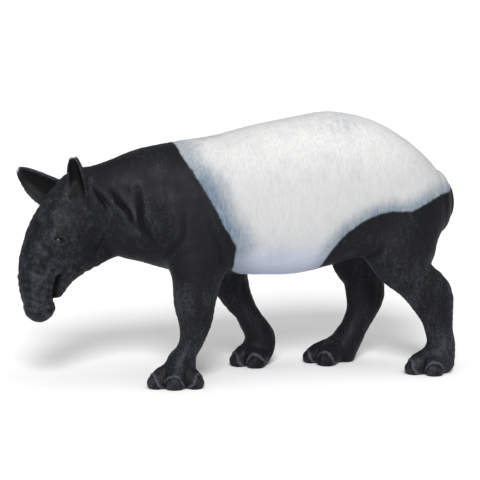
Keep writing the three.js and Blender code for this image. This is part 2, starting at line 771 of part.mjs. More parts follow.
// The finished figure, centred over its soles
const tapir = new THREE.Group();
tapir.name = "tapir_figure";
for (const [name, solid] of Object.entries(solids)) {
  const mesh = solid.getMesh();
  const geometry = new THREE.BufferGeometry();
  geometry.setAttribute("position", new THREE.BufferAttribute(new Float32Array(mesh.vertProperties), 3));
  geometry.setIndex(new THREE.BufferAttribute(new Uint32Array(mesh.triVerts), 1));
  const part = new THREE.Mesh(geometry, finishOf(name));
  part.name = name;
  tapir.add(part);
}
const extent = new THREE.Box3().setFromObject(tapir);
tapir.position.x = -(extent.min.x + extent.max.x) / 2;
tapir.position.y = -(extent.min.y + extent.max.y) / 2;

export default tapir;
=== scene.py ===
"""A hand-painted moulded toy tapir, walking with its head lowered, on plain white ground in soft light."""

import logging
import math
from dataclasses import dataclass
from enum import Enum
from typing import List, Sequence, Tuple, Union

import bpy
import numpy as np
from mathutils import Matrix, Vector

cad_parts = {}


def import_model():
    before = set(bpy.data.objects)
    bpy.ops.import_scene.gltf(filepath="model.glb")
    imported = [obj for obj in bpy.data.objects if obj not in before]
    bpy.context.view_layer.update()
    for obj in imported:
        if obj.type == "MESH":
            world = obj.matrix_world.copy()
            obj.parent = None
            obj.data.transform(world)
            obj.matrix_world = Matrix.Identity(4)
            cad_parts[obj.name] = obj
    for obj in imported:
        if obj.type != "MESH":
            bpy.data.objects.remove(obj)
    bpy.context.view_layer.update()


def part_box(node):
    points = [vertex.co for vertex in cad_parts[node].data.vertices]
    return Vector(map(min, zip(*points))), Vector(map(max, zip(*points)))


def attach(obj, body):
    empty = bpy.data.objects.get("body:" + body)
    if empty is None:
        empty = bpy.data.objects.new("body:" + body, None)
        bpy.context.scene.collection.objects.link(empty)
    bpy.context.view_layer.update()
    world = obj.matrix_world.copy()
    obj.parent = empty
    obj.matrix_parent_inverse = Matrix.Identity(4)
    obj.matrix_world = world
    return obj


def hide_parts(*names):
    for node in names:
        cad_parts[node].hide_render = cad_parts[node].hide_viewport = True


LOG = logging.getLogger("toy_tapir")
MM = 0.001

Point = Tuple[float, float, float]
Rows = Sequence[Tuple[float, ...]]
Colour = Tuple[float, float, float, float]


class Side(Enum):
    """The figure's own sides, with the sign of y on each."""

    LEFT = -1.0
    RIGHT = 1.0


class Paint(Enum):
    """Names of the record's finishes, not used by the pieces here."""

    BLACK = "black_paint"
    EYE = "eye_gloss"


# ---- small maths ----


def spline_rows(rows: Rows, per_span: int) -> np.ndarray:
    """Puts a smooth curve through rows of numbers.

    Args:
        rows: The rows that the curve goes through.
        per_span: Steps from one row to the next.

    Returns:
        The rows of the finer curve.
    """
    table = np.asarray(rows, float)
    ends = np.vstack([2 * table[0] - table[1], table, 2 * table[-1] - table[-2]])
    made = []
    for i in range(len(table) - 1):
        a, b, c, d = ends[i : i + 4]
        for j in range(per_span):
            t = j / per_span
            bend = (2 * a - 5 * b + 4 * c - d) * t**2 + (3 * b - a - 3 * c + d) * t**3
            made.append(0.5 * (2 * b + (c - a) * t + bend))
    made.append(table[-1])
    return np.array(made)


def blend_min(a: np.ndarray, b: np.ndarray, width: Union[float, np.ndarray]) -> np.ndarray:
    """Joins two distance fields with a rounded fillet whose reach is the width, in mm."""
    overlap = np.maximum(width - np.abs(a - b), 0)
    return np.minimum(a, b) - overlap**2 / (4 * width)


def ramp(value: np.ndarray, low: float, high: float) -> np.ndarray:
    """Goes smoothly from 0 at low to 1 at high."""
    t = np.clip((value - low) / (high - low), 0, 1)
    return t * t * (3 - 2 * t)


def bell(value: np.ndarray, middle: float, width: float) -> np.ndarray:
    """Rises smoothly to 1 at the middle, and is down to about a third at the width from there."""
    return np.exp(-(((value - middle) / width) ** 2))


def hashed(cells: np.ndarray, seed: int) -> np.ndarray:
    """Gives each whole-number cell a fixed random share.

    Args:
        cells: Whole numbers, one row of three a cell.
        seed: Picks another set of shares.

    Returns:
        A share from 0 to 1 for each cell.
    """
    mixed = cells.astype(np.int64) @ np.array([73856093, 19349663, 83492791]) + seed * 2654435
    mixed = (mixed ^ (mixed >> 13)) * 1274126177
    mixed = (mixed ^ (mixed >> 16)) & 0xFFFFFF
    return mixed / float(0xFFFFFF)


def value_noise(points: np.ndarray, size: Sequence[float], seed: int) -> np.ndarray:
    """Smooth noise from -1 to 1.

    Args:
        points: Places in mm, one row each.
        size: Width of a patch along x, y and z, in mm.
        seed: Picks another pattern.

    Returns:
        The noise at each point.
    """
    scaled = points / np.asarray(size, float)
    base = np.floor(scaled).astype(np.int64)
    part = scaled - base
    part = part * part * (3 - 2 * part)
    total = np.zeros(len(points))
    for corner in np.ndindex(2, 2, 2):
        step = np.array(corner)
        weight = np.prod(np.where(step == 1, part, 1 - part), axis=1)
        total += weight * hashed(base + step, seed)
    return 2 * total - 1


@dataclass(frozen=True)
class Pattern:
    """A smooth random pattern: the width of its patches along x, y and z in mm, and its seed."""

    size: Point
    seed: int

    def at(self, points: np.ndarray) -> np.ndarray:
        """Finds the pattern's value at points, from -1 to 1."""
        return value_noise(points, self.size, self.seed)


def line_distance(x: np.ndarray, z: np.ndarray, line: Rows) -> Tuple[np.ndarray, np.ndarray]:
    """Measures how far points in a plane are from a bent line.

    Args:
        x: First coordinate of each point.
        z: Second coordinate of each point.
        line: The line's corners.

    Returns:
        The distance to the line, and how far along it the nearest place is, from 0 to 1.
    """
    corners = np.asarray(line, float)
    best = np.full(len(x), 1e9)
    along = np.zeros(len(x))
    spans = np.linalg.norm(np.diff(corners, axis=0), axis=1)
    starts = np.concatenate([[0], np.cumsum(spans)])
    for i, length in enumerate(spans):
        ax, az = corners[i]
        ux, uz = (corners[i + 1] - corners[i]) / length
        t = np.clip((x - ax) * ux + (z - az) * uz, 0, length)
        d = np.hypot(x - ax - t * ux, z - az - t * uz)
        nearer = d < best
        best = np.where(nearer, d, best)
        along = np.where(nearer, (starts[i] + t) / starts[-1], along)
    return best, along


# ---- the moulded form, in mm ----


@dataclass(frozen=True)
class Chain:
    """A bent limb with an oval section: rows of x, y, z, half-depth and half-width."""

    rows: Tuple[Tuple[float, ...], ...]
    caps: Tuple[float, float]
    per_span: int = 3

    def box(self, margin: float) -> Tuple[np.ndarray, np.ndarray]:
        """Finds the room that the chain takes.

        Args:
            margin: Room added on every side, in mm.

        Returns:
            The lowest and the highest corner.
        """
        table = np.asarray(self.rows, float)
        reach = table[:, 3:5].max(1)[:, None] + margin
        return (table[:, :3] - reach).min(0), (table[:, :3] + reach).max(0)

    def distance(self, points: np.ndarray) -> np.ndarray:
        """Measures how far points are from the chain's surface.

        Args:
            points: Places in mm, one row each.

        Returns:
            The distance, negative inside.
        """
        spine = spline_rows(self.rows, self.per_span)
        last = len(spine) - 2
        best = np.full(len(points), 1e9)
        for i in range(len(spine) - 1):
            start, end = spine[i], spine[i + 1]
            span = end[:3] - start[:3]
            length = np.linalg.norm(span)
            u = span / length
            n = np.array([-u[2], 0.0, u[0]])
            n /= max(np.linalg.norm(n), 1e-9)
            side = np.cross(u, n)
            offset = points - start[:3]
            along = offset @ u
            t = np.clip(along / length, 0, 1)
            beyond = along - t * length
            depth = start[3] + (end[3] - start[3]) * t
            width = start[4] + (end[4] - start[4]) * t
            cap = depth.copy()
            if i == 0:
                cap = np.where(beyond < 0, depth * self.caps[0], cap)
            if i == last:
                cap = np.where(beyond > 0, depth * self.caps[1], cap)
            a, b, c = offset @ n / depth, offset @ side / width, beyond / cap
            g = np.sqrt(a * a + b * b + c * c)
            slope = np.sqrt((a / depth) ** 2 + (b / width) ** 2 + (c / cap) ** 2)
            d = (g - 1) * g / np.maximum(slope, 1e-6)
            d = np.where(g < 0.3, -0.7 * np.minimum(depth, width), d)
            best = np.minimum(best, d)
        return best


@dataclass(frozen=True)
class Barrel:
    """The trunk: rows of x, top, bottom and half-width, with upright sections."""

    rows: Tuple[Tuple[float, ...], ...]
    caps: Tuple[float, float]
    egg: float
    squareness: float

    def _share(self, points: np.ndarray) -> Tuple[np.ndarray, ...]:
        """Finds how far out each point lies in its own section, as a share of the section's size.

        Args:
            points: Places in mm, one row each.

        Returns:
            The share out, up and across, and the section's half-height and half-width in mm.
        """
        spine = spline_rows(self.rows, 6)
        stations = spine[:, 0]
        x = points[:, 0]
        inside = np.clip(x, stations[0], stations[-1])
        top, bottom, half = (np.interp(inside, stations, spine[:, k]) for k in (1, 2, 3))
        height = (top - bottom) / 2
        a = (points[:, 2] - (top + bottom) / 2) / height
        width = half * (1 - self.egg * np.clip(a, -1, 1))
        b = points[:, 1] / width
        c = np.where(
            x < stations[0],
            (x - stations[0]) / self.caps[0],
            np.where(x > stations[-1], (x - stations[-1]) / self.caps[1], 0),
        )
        p = self.squareness
        g = np.sqrt((np.abs(a) ** p + np.abs(b) ** p) ** (2 / p) + c * c)
        return g, a, b, height, width

    def distance(self, points: np.ndarray) -> np.ndarray:
        """Measures how far points are from the trunk's surface.

        Args:
            points: Places in mm, one row each.

        Returns:
            The distance, negative inside.
        """
        step = 0.5
        p = self.squareness
        g, a, b, height, width = self._share(points)
        ahead = self._share(points + np.array([step, 0, 0]))[0]
        q = np.maximum(g, 1e-6)
        gx = (ahead - g) / step
        gz = (np.abs(a) / q) ** (p - 1) / height
        gy = (np.abs(b) / q) ** (p - 1) / width
        return (g - 1) / np.sqrt(gx * gx + gy * gy + gz * gz + 1e-6)


@dataclass(frozen=True)
class EarForm:
    """A cupped leaf from root to tip, hollow towards facing."""

    root: Point
    tip: Point
    facing: Point
    half_width: float
    cup: float
    bow: float
    bluntness: float
    thickness: float = 1.5
    widest: float = 0.3
    root_depth: float = 3.0
    tip_share: float = 0.97

    def axes(self) -> Tuple[np.ndarray, np.ndarray, np.ndarray, float]:
        """Finds the ear's own directions.

        Returns:
            The directions along, across and out of the cup, and the length in mm.
        """
        span = np.subtract(self.tip, self.root)
        length = float(np.linalg.norm(span))
        along = span / length
        facing = np.asarray(self.facing, float)
        out = facing - along * (facing @ along)
        out /= np.linalg.norm(out)
        return along, np.cross(along, out), out, length

    def local(self, points: np.ndarray) -> np.ndarray:
        """Puts points in the ear's own directions.

        Args:
            points: Places in mm, one row each.

        Returns:
            Share of the length, distance across from the bowed middle line and distance out, in mm.
        """
        along, across, out, length = self.axes()
        offset = points - np.asarray(self.root)
        t = offset @ along / length
        bowed = self.bow * np.sin(np.pi * np.clip(t, 0, 1))
        return np.stack([t, offset @ across - bowed, offset @ out], 1)

    def half_at(self, t: np.ndarray) -> np.ndarray:
        """Finds the half-width at a share of the length."""
        return self.half_width * np.sin(np.pi * (self.widest + (1 - self.widest) * t)) ** self.bluntness

    def distance(self, points: np.ndarray) -> np.ndarray:
        """Measures how far points are from the ear's surface.

        Args:
            points: Places in mm, one row each.

        Returns:
            The distance, negative inside.
        """
        length = self.axes()[3]
        t, across, out = self.local(points).T
        inside = np.clip(t, 0, self.tip_share)
        half = self.half_at(inside)
        edge = self.thickness / 2
        q = np.clip(across / half, -1.1, 1.1)
        depth = self.cup * half / self.half_width
        lean = 2 * depth * q / half
        level = (out + depth * (1 - q * q)) / np.sqrt(1 + lean * lean)
        beside = np.maximum(np.abs(across) - np.maximum(half - edge, 0), 0)
        above = np.maximum(t - self.tip_share, 0) * length
        below = np.maximum(-t * length - self.root_depth, 0)
        return np.sqrt(level**2 + beside**2 + above**2 + below**2) - edge


@dataclass(frozen=True)
class Foot:
    """One foot: its middle on the ground, its side, and angle, reach and size of each toe."""

    centre: Tuple[float, float]
    side: Side
    toes: Tuple[Tuple[float, float, float], ...]

    def heading(self, angle: float) -> Tuple[float, float]:
        """Finds the x and y of a toe's direction, turned outwards by an angle in degrees."""
        turn = math.radians(angle)
        return -math.cos(turn), self.side.value * math.sin(turn)

    def chains(self) -> List[Chain]:
        """Builds the toes.

        Returns:
            A chain for each toe.
        """
        cx, cy = self.centre
        made = []
        for angle, reach, size in self.toes:
            hx, hy = self.heading(angle)
            knuckle, tip = 0.6 * reach, reach - 0.2
            made.append(
                Chain(
                    (
                        (cx, cy, 4.4, 3.4, 3 * size),
                        (cx + hx * knuckle, cy + hy * knuckle, 3, 3.2 * size, 2.9 * size),
                        (cx + hx * tip, cy + hy * tip, 1.3, 2.5 * size, 2.6 * size),
                    ),
                    (1, 0.85),
                )
            )
        return made


TRUNK = Barrel(
    (
        (-44, 62.3, 43, 7.6),
        (-36, 65.3, 37.2, 9.2),
        (-28, 68, 34.7, 11.2),
        (-18, 69.6, 31.8, 14),
        (-6, 71.2, 31, 16.2),
        (6, 73.8, 30, 17.6),
        (18, 76, 30, 18.2),
        (29, 77.4, 32.2, 17.8),
        (41, 74.8, 35, 16.4),
        (51, 69.5, 38, 14),
        (58, 63.7, 38.8, 11.4),
        (62, 59.4, 40.4, 9),
    ),
    (8, 4.2),
    0.1,
    2.3,
)
SKULL = Chain(
    (
        (-43.5, 0, 50.5, 11.6, 8.2),
        (-47.8, 0, 46.4, 12, 8.7),
        (-51.5, 0, 42.3, 11.1, 8.1),
        (-54.9, 0, 38.1, 9.4, 6.8),
        (-57.5, 0, 33.5, 7.6, 5.6),
        (-59, 0, 29, 5.8, 4.8),
        (-59.2, 0, 25.2, 4.6, 4.3),
        (-58.9, 0, 22.5, 4.5, 4.3),
    ),
    (0.8, 0.25),
)
JAW = Chain(
    (
        (-40, 0, 42, 6.8, 5.8),
        (-44.8, 0, 39.2, 5.8, 5.8),
        (-48.9, 0, 36.6, 5.1, 5),
        (-52.2, 0, 31.8, 3.2, 4),
        (-53.8, 0, 27.4, 1.9, 3),
    ),
    (0.8, 0.8),
)
TAIL = Chain(
    (
        (62.6, 0, 56, 2.2, 2.4),
        (65.2, 0, 53.2, 2, 2.1),
        (66.3, 0, 50, 1.8, 1.9),
        (66.2, 0, 46.8, 1.6, 1.7),
        (65, 0, 43.8, 1.1, 1.3),
    ),
    (1, 1),
)
LEG_CAPS = (0.5, 0.75)
FORE_LEFT = Chain(
    (
        (-15, -7.4, 52, 11, 6.4),
        (-14, -10.9, 40, 9.7, 6.3),
        (-14.6, -12.4, 32, 7.4, 5.8),
        (-15.4, -13, 25, 6.3, 5),
        (-15.4, -13.2, 18.5, 4.8, 4.2),
        (-16.5, -13.3, 13.4, 3.6, 3.6),
        (-18.1, -13.1, 9.8, 3.3, 3.6),
        (-19.6, -13, 6.4, 4.4, 4.2),
        (-20.4, -12.8, 3.2, 5, 4.6),
    ),
    LEG_CAPS,
)
FORE_RIGHT = Chain(
    (
        (-12, 7.4, 52, 11, 6.4),
        (-6, 11, 39, 9, 6.3),
        (-0.2, 12.2, 30, 6.6, 5.5),
        (3.4, 12.6, 22, 4.8, 4.4),
        (6.6, 12.7, 16.5, 3.6, 3.9),
        (9.2, 12.7, 12.3, 3.9, 4),
        (11, 12.7, 8.6, 4.5, 4.2),
        (10.8, 12.7, 5.6, 4.9, 4.3),
        (9.8, 12.7, 3.2, 4.7, 4.5),
    ),
    LEG_CAPS,
)
HIND_LEFT = Chain(
    (
        (49.5, -6.4, 48, 12.4, 7.4),
        (47.4, -10.4, 39.5, 11.4, 7.4),
        (47.7, -12, 33.5, 8.2, 6.4),
        (51.7, -12.4, 28.3, 6.5, 5.2),
        (56.4, -12.6, 23.5, 6.7, 4.6),
        (58.3, -12.8, 18, 5.2, 4),
        (59.3, -12.9, 12.5, 4.2, 3.6),
        (59.8, -13, 8.5, 4.3, 3.8),
        (58.8, -12.8, 3.4, 5.2, 4.6),
    ),
    LEG_CAPS,
)
HIND_RIGHT = Chain(
    (
        (46, 6.4, 48, 12.4, 7.4),
        (42.8, 10.4, 39, 11.2, 7.4),
        (42.2, 12, 32, 8.6, 6.2),
        (43.6, 12.4, 26, 6.4, 5),
        (44.5, 12.5, 20.5, 6.1, 4.4),
        (43.4, 12.4, 15.5, 4.8, 4),
        (41.2, 12.1, 11, 4.1, 3.7),
        (39.1, 11.6, 7.6, 4.3, 4),
        (36.3, 11.2, 3.4, 5, 4.6),
    ),
    LEG_CAPS,
)
LEGS = (FORE_LEFT, FORE_RIGHT, HIND_LEFT, HIND_RIGHT)
FEET = (
    Foot((-20.2, -12.8), Side.LEFT, ((8, 7.4, 1.05), (-42, 6.2, 0.95), (61, 4.8, 1.1), (134, 6, 1))),
    Foot((10, 12.7), Side.RIGHT, ((-6, 6.2, 1.05), (-72, 5.2, 1.08), (46, 5.8, 0.95), (108, 4.8, 0.86))),
    Foot((57.8, -12.8), Side.LEFT, ((2, 6.8, 1.1), (-50, 5.8, 0.98), (72, 4.8, 1.05))),
    Foot((34.9, 11.2), Side.RIGHT, ((4, 8.4, 1), (-47, 7.4, 1.1), (48, 6, 0.95))),
)
EARS = (
    EarForm((-47.6, -6.6, 54.0), (-49.8, -8.2, 67.1), (-0.6, -0.8, 0.1), 2.9, 2.3, 0.0, 0.5),
    EarForm((-49.4, 1.8, 53.4), (-62.6, 11.2, 61.9), (-0.62, -0.78, 0), 4.8, 2.2, -1.2, 0.6),
)
HEAD_TURN = math.radians(10)
HEAD_PIVOT = (-44.0, 0.0)
EYE_CENTRE = (-55.6, 6.7, 43.3)
SWELLS = (
    (-55.5, 7, 45.4, 2.6, 0.7),
    (-56.6, 6.6, 40, 2, 0.35),
    (-49, 8.4, 41, 4.5, 0.7),
    (-44.6, 4.6, 58.2, 3.4, 0.8),
    (-60.6, 3.4, 22, 2.2, 0.5),
    (-56.8, 3.6, 21, 2, 0.15),
    (-59.8, 4.4, 33.6, 3.4, -0.3),
)


def in_head(points: np.ndarray) -> np.ndarray:
    """Turns points into the head's own frame, which looks straight ahead.

    Args:
        points: Places in mm, one row each.

    Returns:
        The same places in the head's frame.
    """
    dx, dy = points[:, 0] - HEAD_PIVOT[0], points[:, 1] - HEAD_PIVOT[1]
    c, s = math.cos(HEAD_TURN), math.sin(HEAD_TURN)
    return np.stack([HEAD_PIVOT[0] + dx * c + dy * s, HEAD_PIVOT[1] - dx * s + dy * c, points[:, 2]], 1)


def from_head(point: Point) -> Point:
    """Turns a point of the head's own frame back into the figure's.

    Args:
        point: A place in the head's frame, in mm.

    Returns:
        The same place in the figure's frame.
    """
    dx, dy = point[0] - HEAD_PIVOT[0], point[1] - HEAD_PIVOT[1]
    c, s = math.cos(HEAD_TURN), math.sin(HEAD_TURN)
    return HEAD_PIVOT[0] + dx * c - dy * s, HEAD_PIVOT[1] + dx * s + dy * c, point[2]


def part_of(points: np.ndarray, chain: Chain, reach: float) -> np.ndarray:
    """Measures the distance to a chain where it matters, and a large number elsewhere.

    Args:
        points: Places in mm, one row each.
        chain: The chain to measure.
        reach: Room around the chain that is measured, in mm.

    Returns:
        The distance, negative inside.
    """
    low, high = chain.box(reach)
    near = np.all((points > low) & (points < high), axis=1)
    made = np.full(len(points), 1e3)
    if near.any():
        made[near] = chain.distance(points[near])
    return made


@dataclass(frozen=True)
class Form:
    """The whole moulded body as one distance field."""

    neck_fillet: float = 5.0
    throat_fillet: float = 1.4
    jaw_fillet: float = 1.6
    leg_fillet: float = 4.5
    toe_fillet: float = 0.9
    tail_fillet: float = 1.0
    ear_fillet: float = 1.3
    head_start: float = -30.0
    throat_height: Tuple[float, float] = (40.0, 50.0)
    toes_top: float = 12.0
    leg_reach: float = 6.0
    toe_reach: float = 2.0
    tail_reach: float = 3.0
    ear_reach: float = 7.0

    def head(self, points: np.ndarray) -> np.ndarray:
        """Measures how far points are from the head, the jaw and their swells.

        Args:
            points: Places in mm, one row each.

        Returns:
            The distance, negative inside.
        """
        local = in_head(points)
        form = blend_min(SKULL.distance(local), JAW.distance(local), self.jaw_fillet)
        for x, y, z, radius, height in SWELLS:
            gone = (local[:, 0] - x) ** 2 + (np.abs(local[:, 1]) - y) ** 2 + (local[:, 2] - z) ** 2
            form = form - height * np.exp(-gone / radius**2)
        return form

    def distance(self, points: np.ndarray) -> np.ndarray:
        """Measures how far points are from the body's surface.

        Args:
            points: Places in mm, one row each.

        Returns:
            The distance, negative inside.
        """
        form = TRUNK.distance(points)
        ahead = points[:, 0] < self.head_start
        if ahead.any():
            rise = ramp(points[ahead, 2], *self.throat_height)
            fillet = self.throat_fillet + rise * (self.neck_fillet - self.throat_fillet)
            form[ahead] = blend_min(form[ahead], self.head(points[ahead]), fillet)
        for leg in LEGS:
            form = blend_min(form, part_of(points, leg, self.leg_reach), self.leg_fillet)
        low = points[:, 2] < self.toes_top
        if low.any():
            ground, near = points[low], form[low]
            for foot in FEET:
                for toe in foot.chains():
                    near = blend_min(near, part_of(ground, toe, self.toe_reach), self.toe_fillet)
            form[low] = near
        form = blend_min(form, part_of(points, TAIL, self.tail_reach), self.tail_fillet)
        for ear in EARS:
            ends = np.array([ear.root, ear.tip])
            low_end, high_end = ends.min(0) - self.ear_reach, ends.max(0) + self.ear_reach
            box = np.all((points > low_end) & (points < high_end), axis=1)
            if box.any():
                form[box] = blend_min(form[box], ear.distance(points[box]), self.ear_fillet)
        return form

    def slope(self, points: np.ndarray, at: np.ndarray) -> np.ndarray:
        """Finds the field's gradient at points where its value is known."""
        step = 0.04
        return np.stack([(self.distance(points + step * np.eye(3)[k]) - at) / step for k in range(3)], 1)


@dataclass(frozen=True)
class Grid:
    """Grid lines that stand closer together around the head and the feet."""

    low: Point = (-66.5, -20.6, -0.7)
    high: Point = (69.6, 20.8, 79.0)
    head_end: float = -41.0
    feet_top: float = 9.0
    fine: float = 0.43
    wide: float = 0.62
    across: float = 0.51
    upright: float = 0.53

    def lines(self) -> List[np.ndarray]:
        """Places the grid lines.

        Returns:
            The places of the lines along x, y and z.
        """

        def two_steps(low: float, middle: float, high: float, first: float, second: float) -> np.ndarray:
            """Places lines at one spacing up to the middle and at another after it."""
            return np.concatenate([np.arange(low, middle, first), np.arange(middle, high, second)])

        return [
            two_steps(self.low[0], self.head_end, self.high[0], self.fine, self.wide),
            np.arange(self.low[1], self.high[1], self.across),
            two_steps(self.low[2], self.feet_top, self.high[2], self.fine, self.upright),
        ]


def surface_net(value: np.ndarray, lines: List[np.ndarray]) -> Tuple[np.ndarray, np.ndarray]:
    """Wraps the inside of a field in quads, one vertex in each grid cell that the surface crosses.

    Args:
        value: The field at the grid's points.
        lines: The grid lines along x, y and z.

    Returns:
        The vertices in mm and the quads.
    """
    inside = value < 0
    shape = tuple(n - 1 for n in value.shape)
    count = np.zeros(shape)
    total = np.zeros((3,) + shape)
    for axis in range(3):
        others = [k for k in range(3) if k != axis]
        first, second = [slice(None)] * 3, [slice(None)] * 3
        first[axis], second[axis] = slice(0, -1), slice(1, None)
        a, b = value[tuple(first)], value[tuple(second)]
        crossed = (a < 0) != (b < 0)
        share = np.where(crossed, a / np.where(crossed, a - b, 1), 0)
        for i in (0, 1):
            for j in (0, 1):
                cut = [slice(None)] * 3
                cut[others[0]] = slice(i, value.shape[others[0]] - 1 + i)
                cut[others[1]] = slice(j, value.shape[others[1]] - 1 + j)
                here = crossed[tuple(cut)]
                count += here
                total[axis] += np.where(here, share[tuple(cut)], 0)
                total[others[0]] += here * i
                total[others[1]] += here * j
    used = count > 0
    index = np.full(shape, -1, np.int64)
    index[used] = np.arange(used.sum())
    cells = np.argwhere(used)
    parts = np.stack([total[k][used] / count[used] for k in range(3)], 1)
    vertices = np.stack(
        [lines[k][cells[:, k]] + parts[:, k] * np.diff(lines[k])[cells[:, k]] for k in range(3)], 1
    )
    quads = []
    for axis in range(3):
        others = [(axis + 1) % 3, (axis + 2) % 3]
        first, second = [slice(1, -1)] * 3, [slice(1, -1)] * 3
        first[axis], second[axis] = slice(0, -1), slice(1, None)
        a, b = inside[tuple(first)], inside[tuple(second)]
        edges = np.argwhere(a != b)
        flip = b[tuple(edges.T)]
        for k in others:
            edges[:, k] += 1
        corners = []
        for i, j in ((1, 1), (0, 1), (0, 0), (1, 0)):
            corner = edges.copy()
            corner[:, others[0]] -= i
            corner[:, others[1]] -= j
            corners.append(index[tuple(corner.T)])
        quad = np.stack(corners, 1)
        quad[flip] = quad[flip][:, ::-1]
        quads.append(quad)
    return vertices, np.vstack(quads)


# ---- sculpted detail ----


FOLD_BENDS = (Pattern((4.5, 4.5, 4.5), 17), Pattern((4.5, 4.5, 4.5), 18))
PEBBLES = (Pattern((1.5, 1.5, 1.7), 3), Pattern((0.8, 0.9, 0.9), 4))
RING_BENDS = Pattern((3, 3, 3), 5)
SNOUT_STREAKS = Pattern((1.3, 1.1, 7.0), 6)
SNOUT_LUMPS = Pattern((2.0, 2.0, 1.6), 8)
LID_BREAKS = Pattern((1.1, 1.1, 1.1), 21)
HAIR = (Pattern((1.1, 1.4, 4.6), 10), Pattern((0.7, 0.9, 2.6), 11))
SINEWS = (Pattern((1.7, 1.7, 9.0), 12), Pattern((0.9, 0.9, 5.0), 13))
BROAD_SWELLS = Pattern((8.0, 8.0, 12.0), 14)
NAIL_BREAKS = Pattern((1.2, 1.2, 1.0), 31)


@dataclass(frozen=True)
class Fold:
    """A crease in the skin: its line in x and z, how deep and how wide it is, in mm."""

    line: Tuple[Tuple[float, float], ...]
    depth: float
    width: float

    def press(self, x: np.ndarray, z: np.ndarray) -> np.ndarray:
        """Presses the crease in, with a soft roll beside it.

        Args:
            x: First coordinate of each vertex.
            z: Height of each vertex.

        Returns:
            The height at each vertex, fading out towards both ends of the line.
        """
        away, along = line_distance(x, z, self.line)
        fade = np.sin(np.pi * np.clip(along, 0.04, 0.96)) ** 0.5
        made = 0.16 * self.depth * bell(away, 1.1 * self.width, 0.7 * self.width)
        return fade * (made - self.depth * bell(away, 0, 0.42 * self.width))


FOLDS = (
    Fold(((-38.0, 57.0), (-36.2, 53.6), (-34.0, 50.2), (-32.6, 47.0)), 1.0, 1.5),
    Fold(((-31.8, 57.0), (-31.0, 51.5), (-30.4, 46.5), (-28.0, 42.6)), 0.75, 1.8),
    Fold(((-43.8, 57.6), (-41.6, 54.6), (-39.6, 51.6)), 0.85, 1.4),
    Fold(((-34.6, 58.6), (-33.6, 55.2)), 0.25, 1.0),
    Fold(((-40.4, 45.0), (-41.6, 41.0), (-43.6, 38.2)), 0.3, 1.2),
    Fold(((-24.0, 37.5), (-20.5, 43.0), (-18.5, 50.0)), 0.35, 1.6),
    Fold(((-7.4, 34.5), (-9.0, 40.5), (-11.5, 47.0)), 0.25, 1.4),
    Fold(((33.0, 33.0), (38.5, 36.5), (41.5, 41.0)), 0.3, 1.4),
)
MOUTH_LINE = ((-55.0, 32.6), (-55.3, 31.0), (-55.7, 27.0), (-54.9, 25.2))
MOUTH_CORNER = 33.8
NOSTRIL = (-61.2, 1.9, 21.0)
SNOUT_RIM = ((-63.9, 21.9), (-60.6, 22.0), (-57.0, 22.7), (-54.2, 24.3))


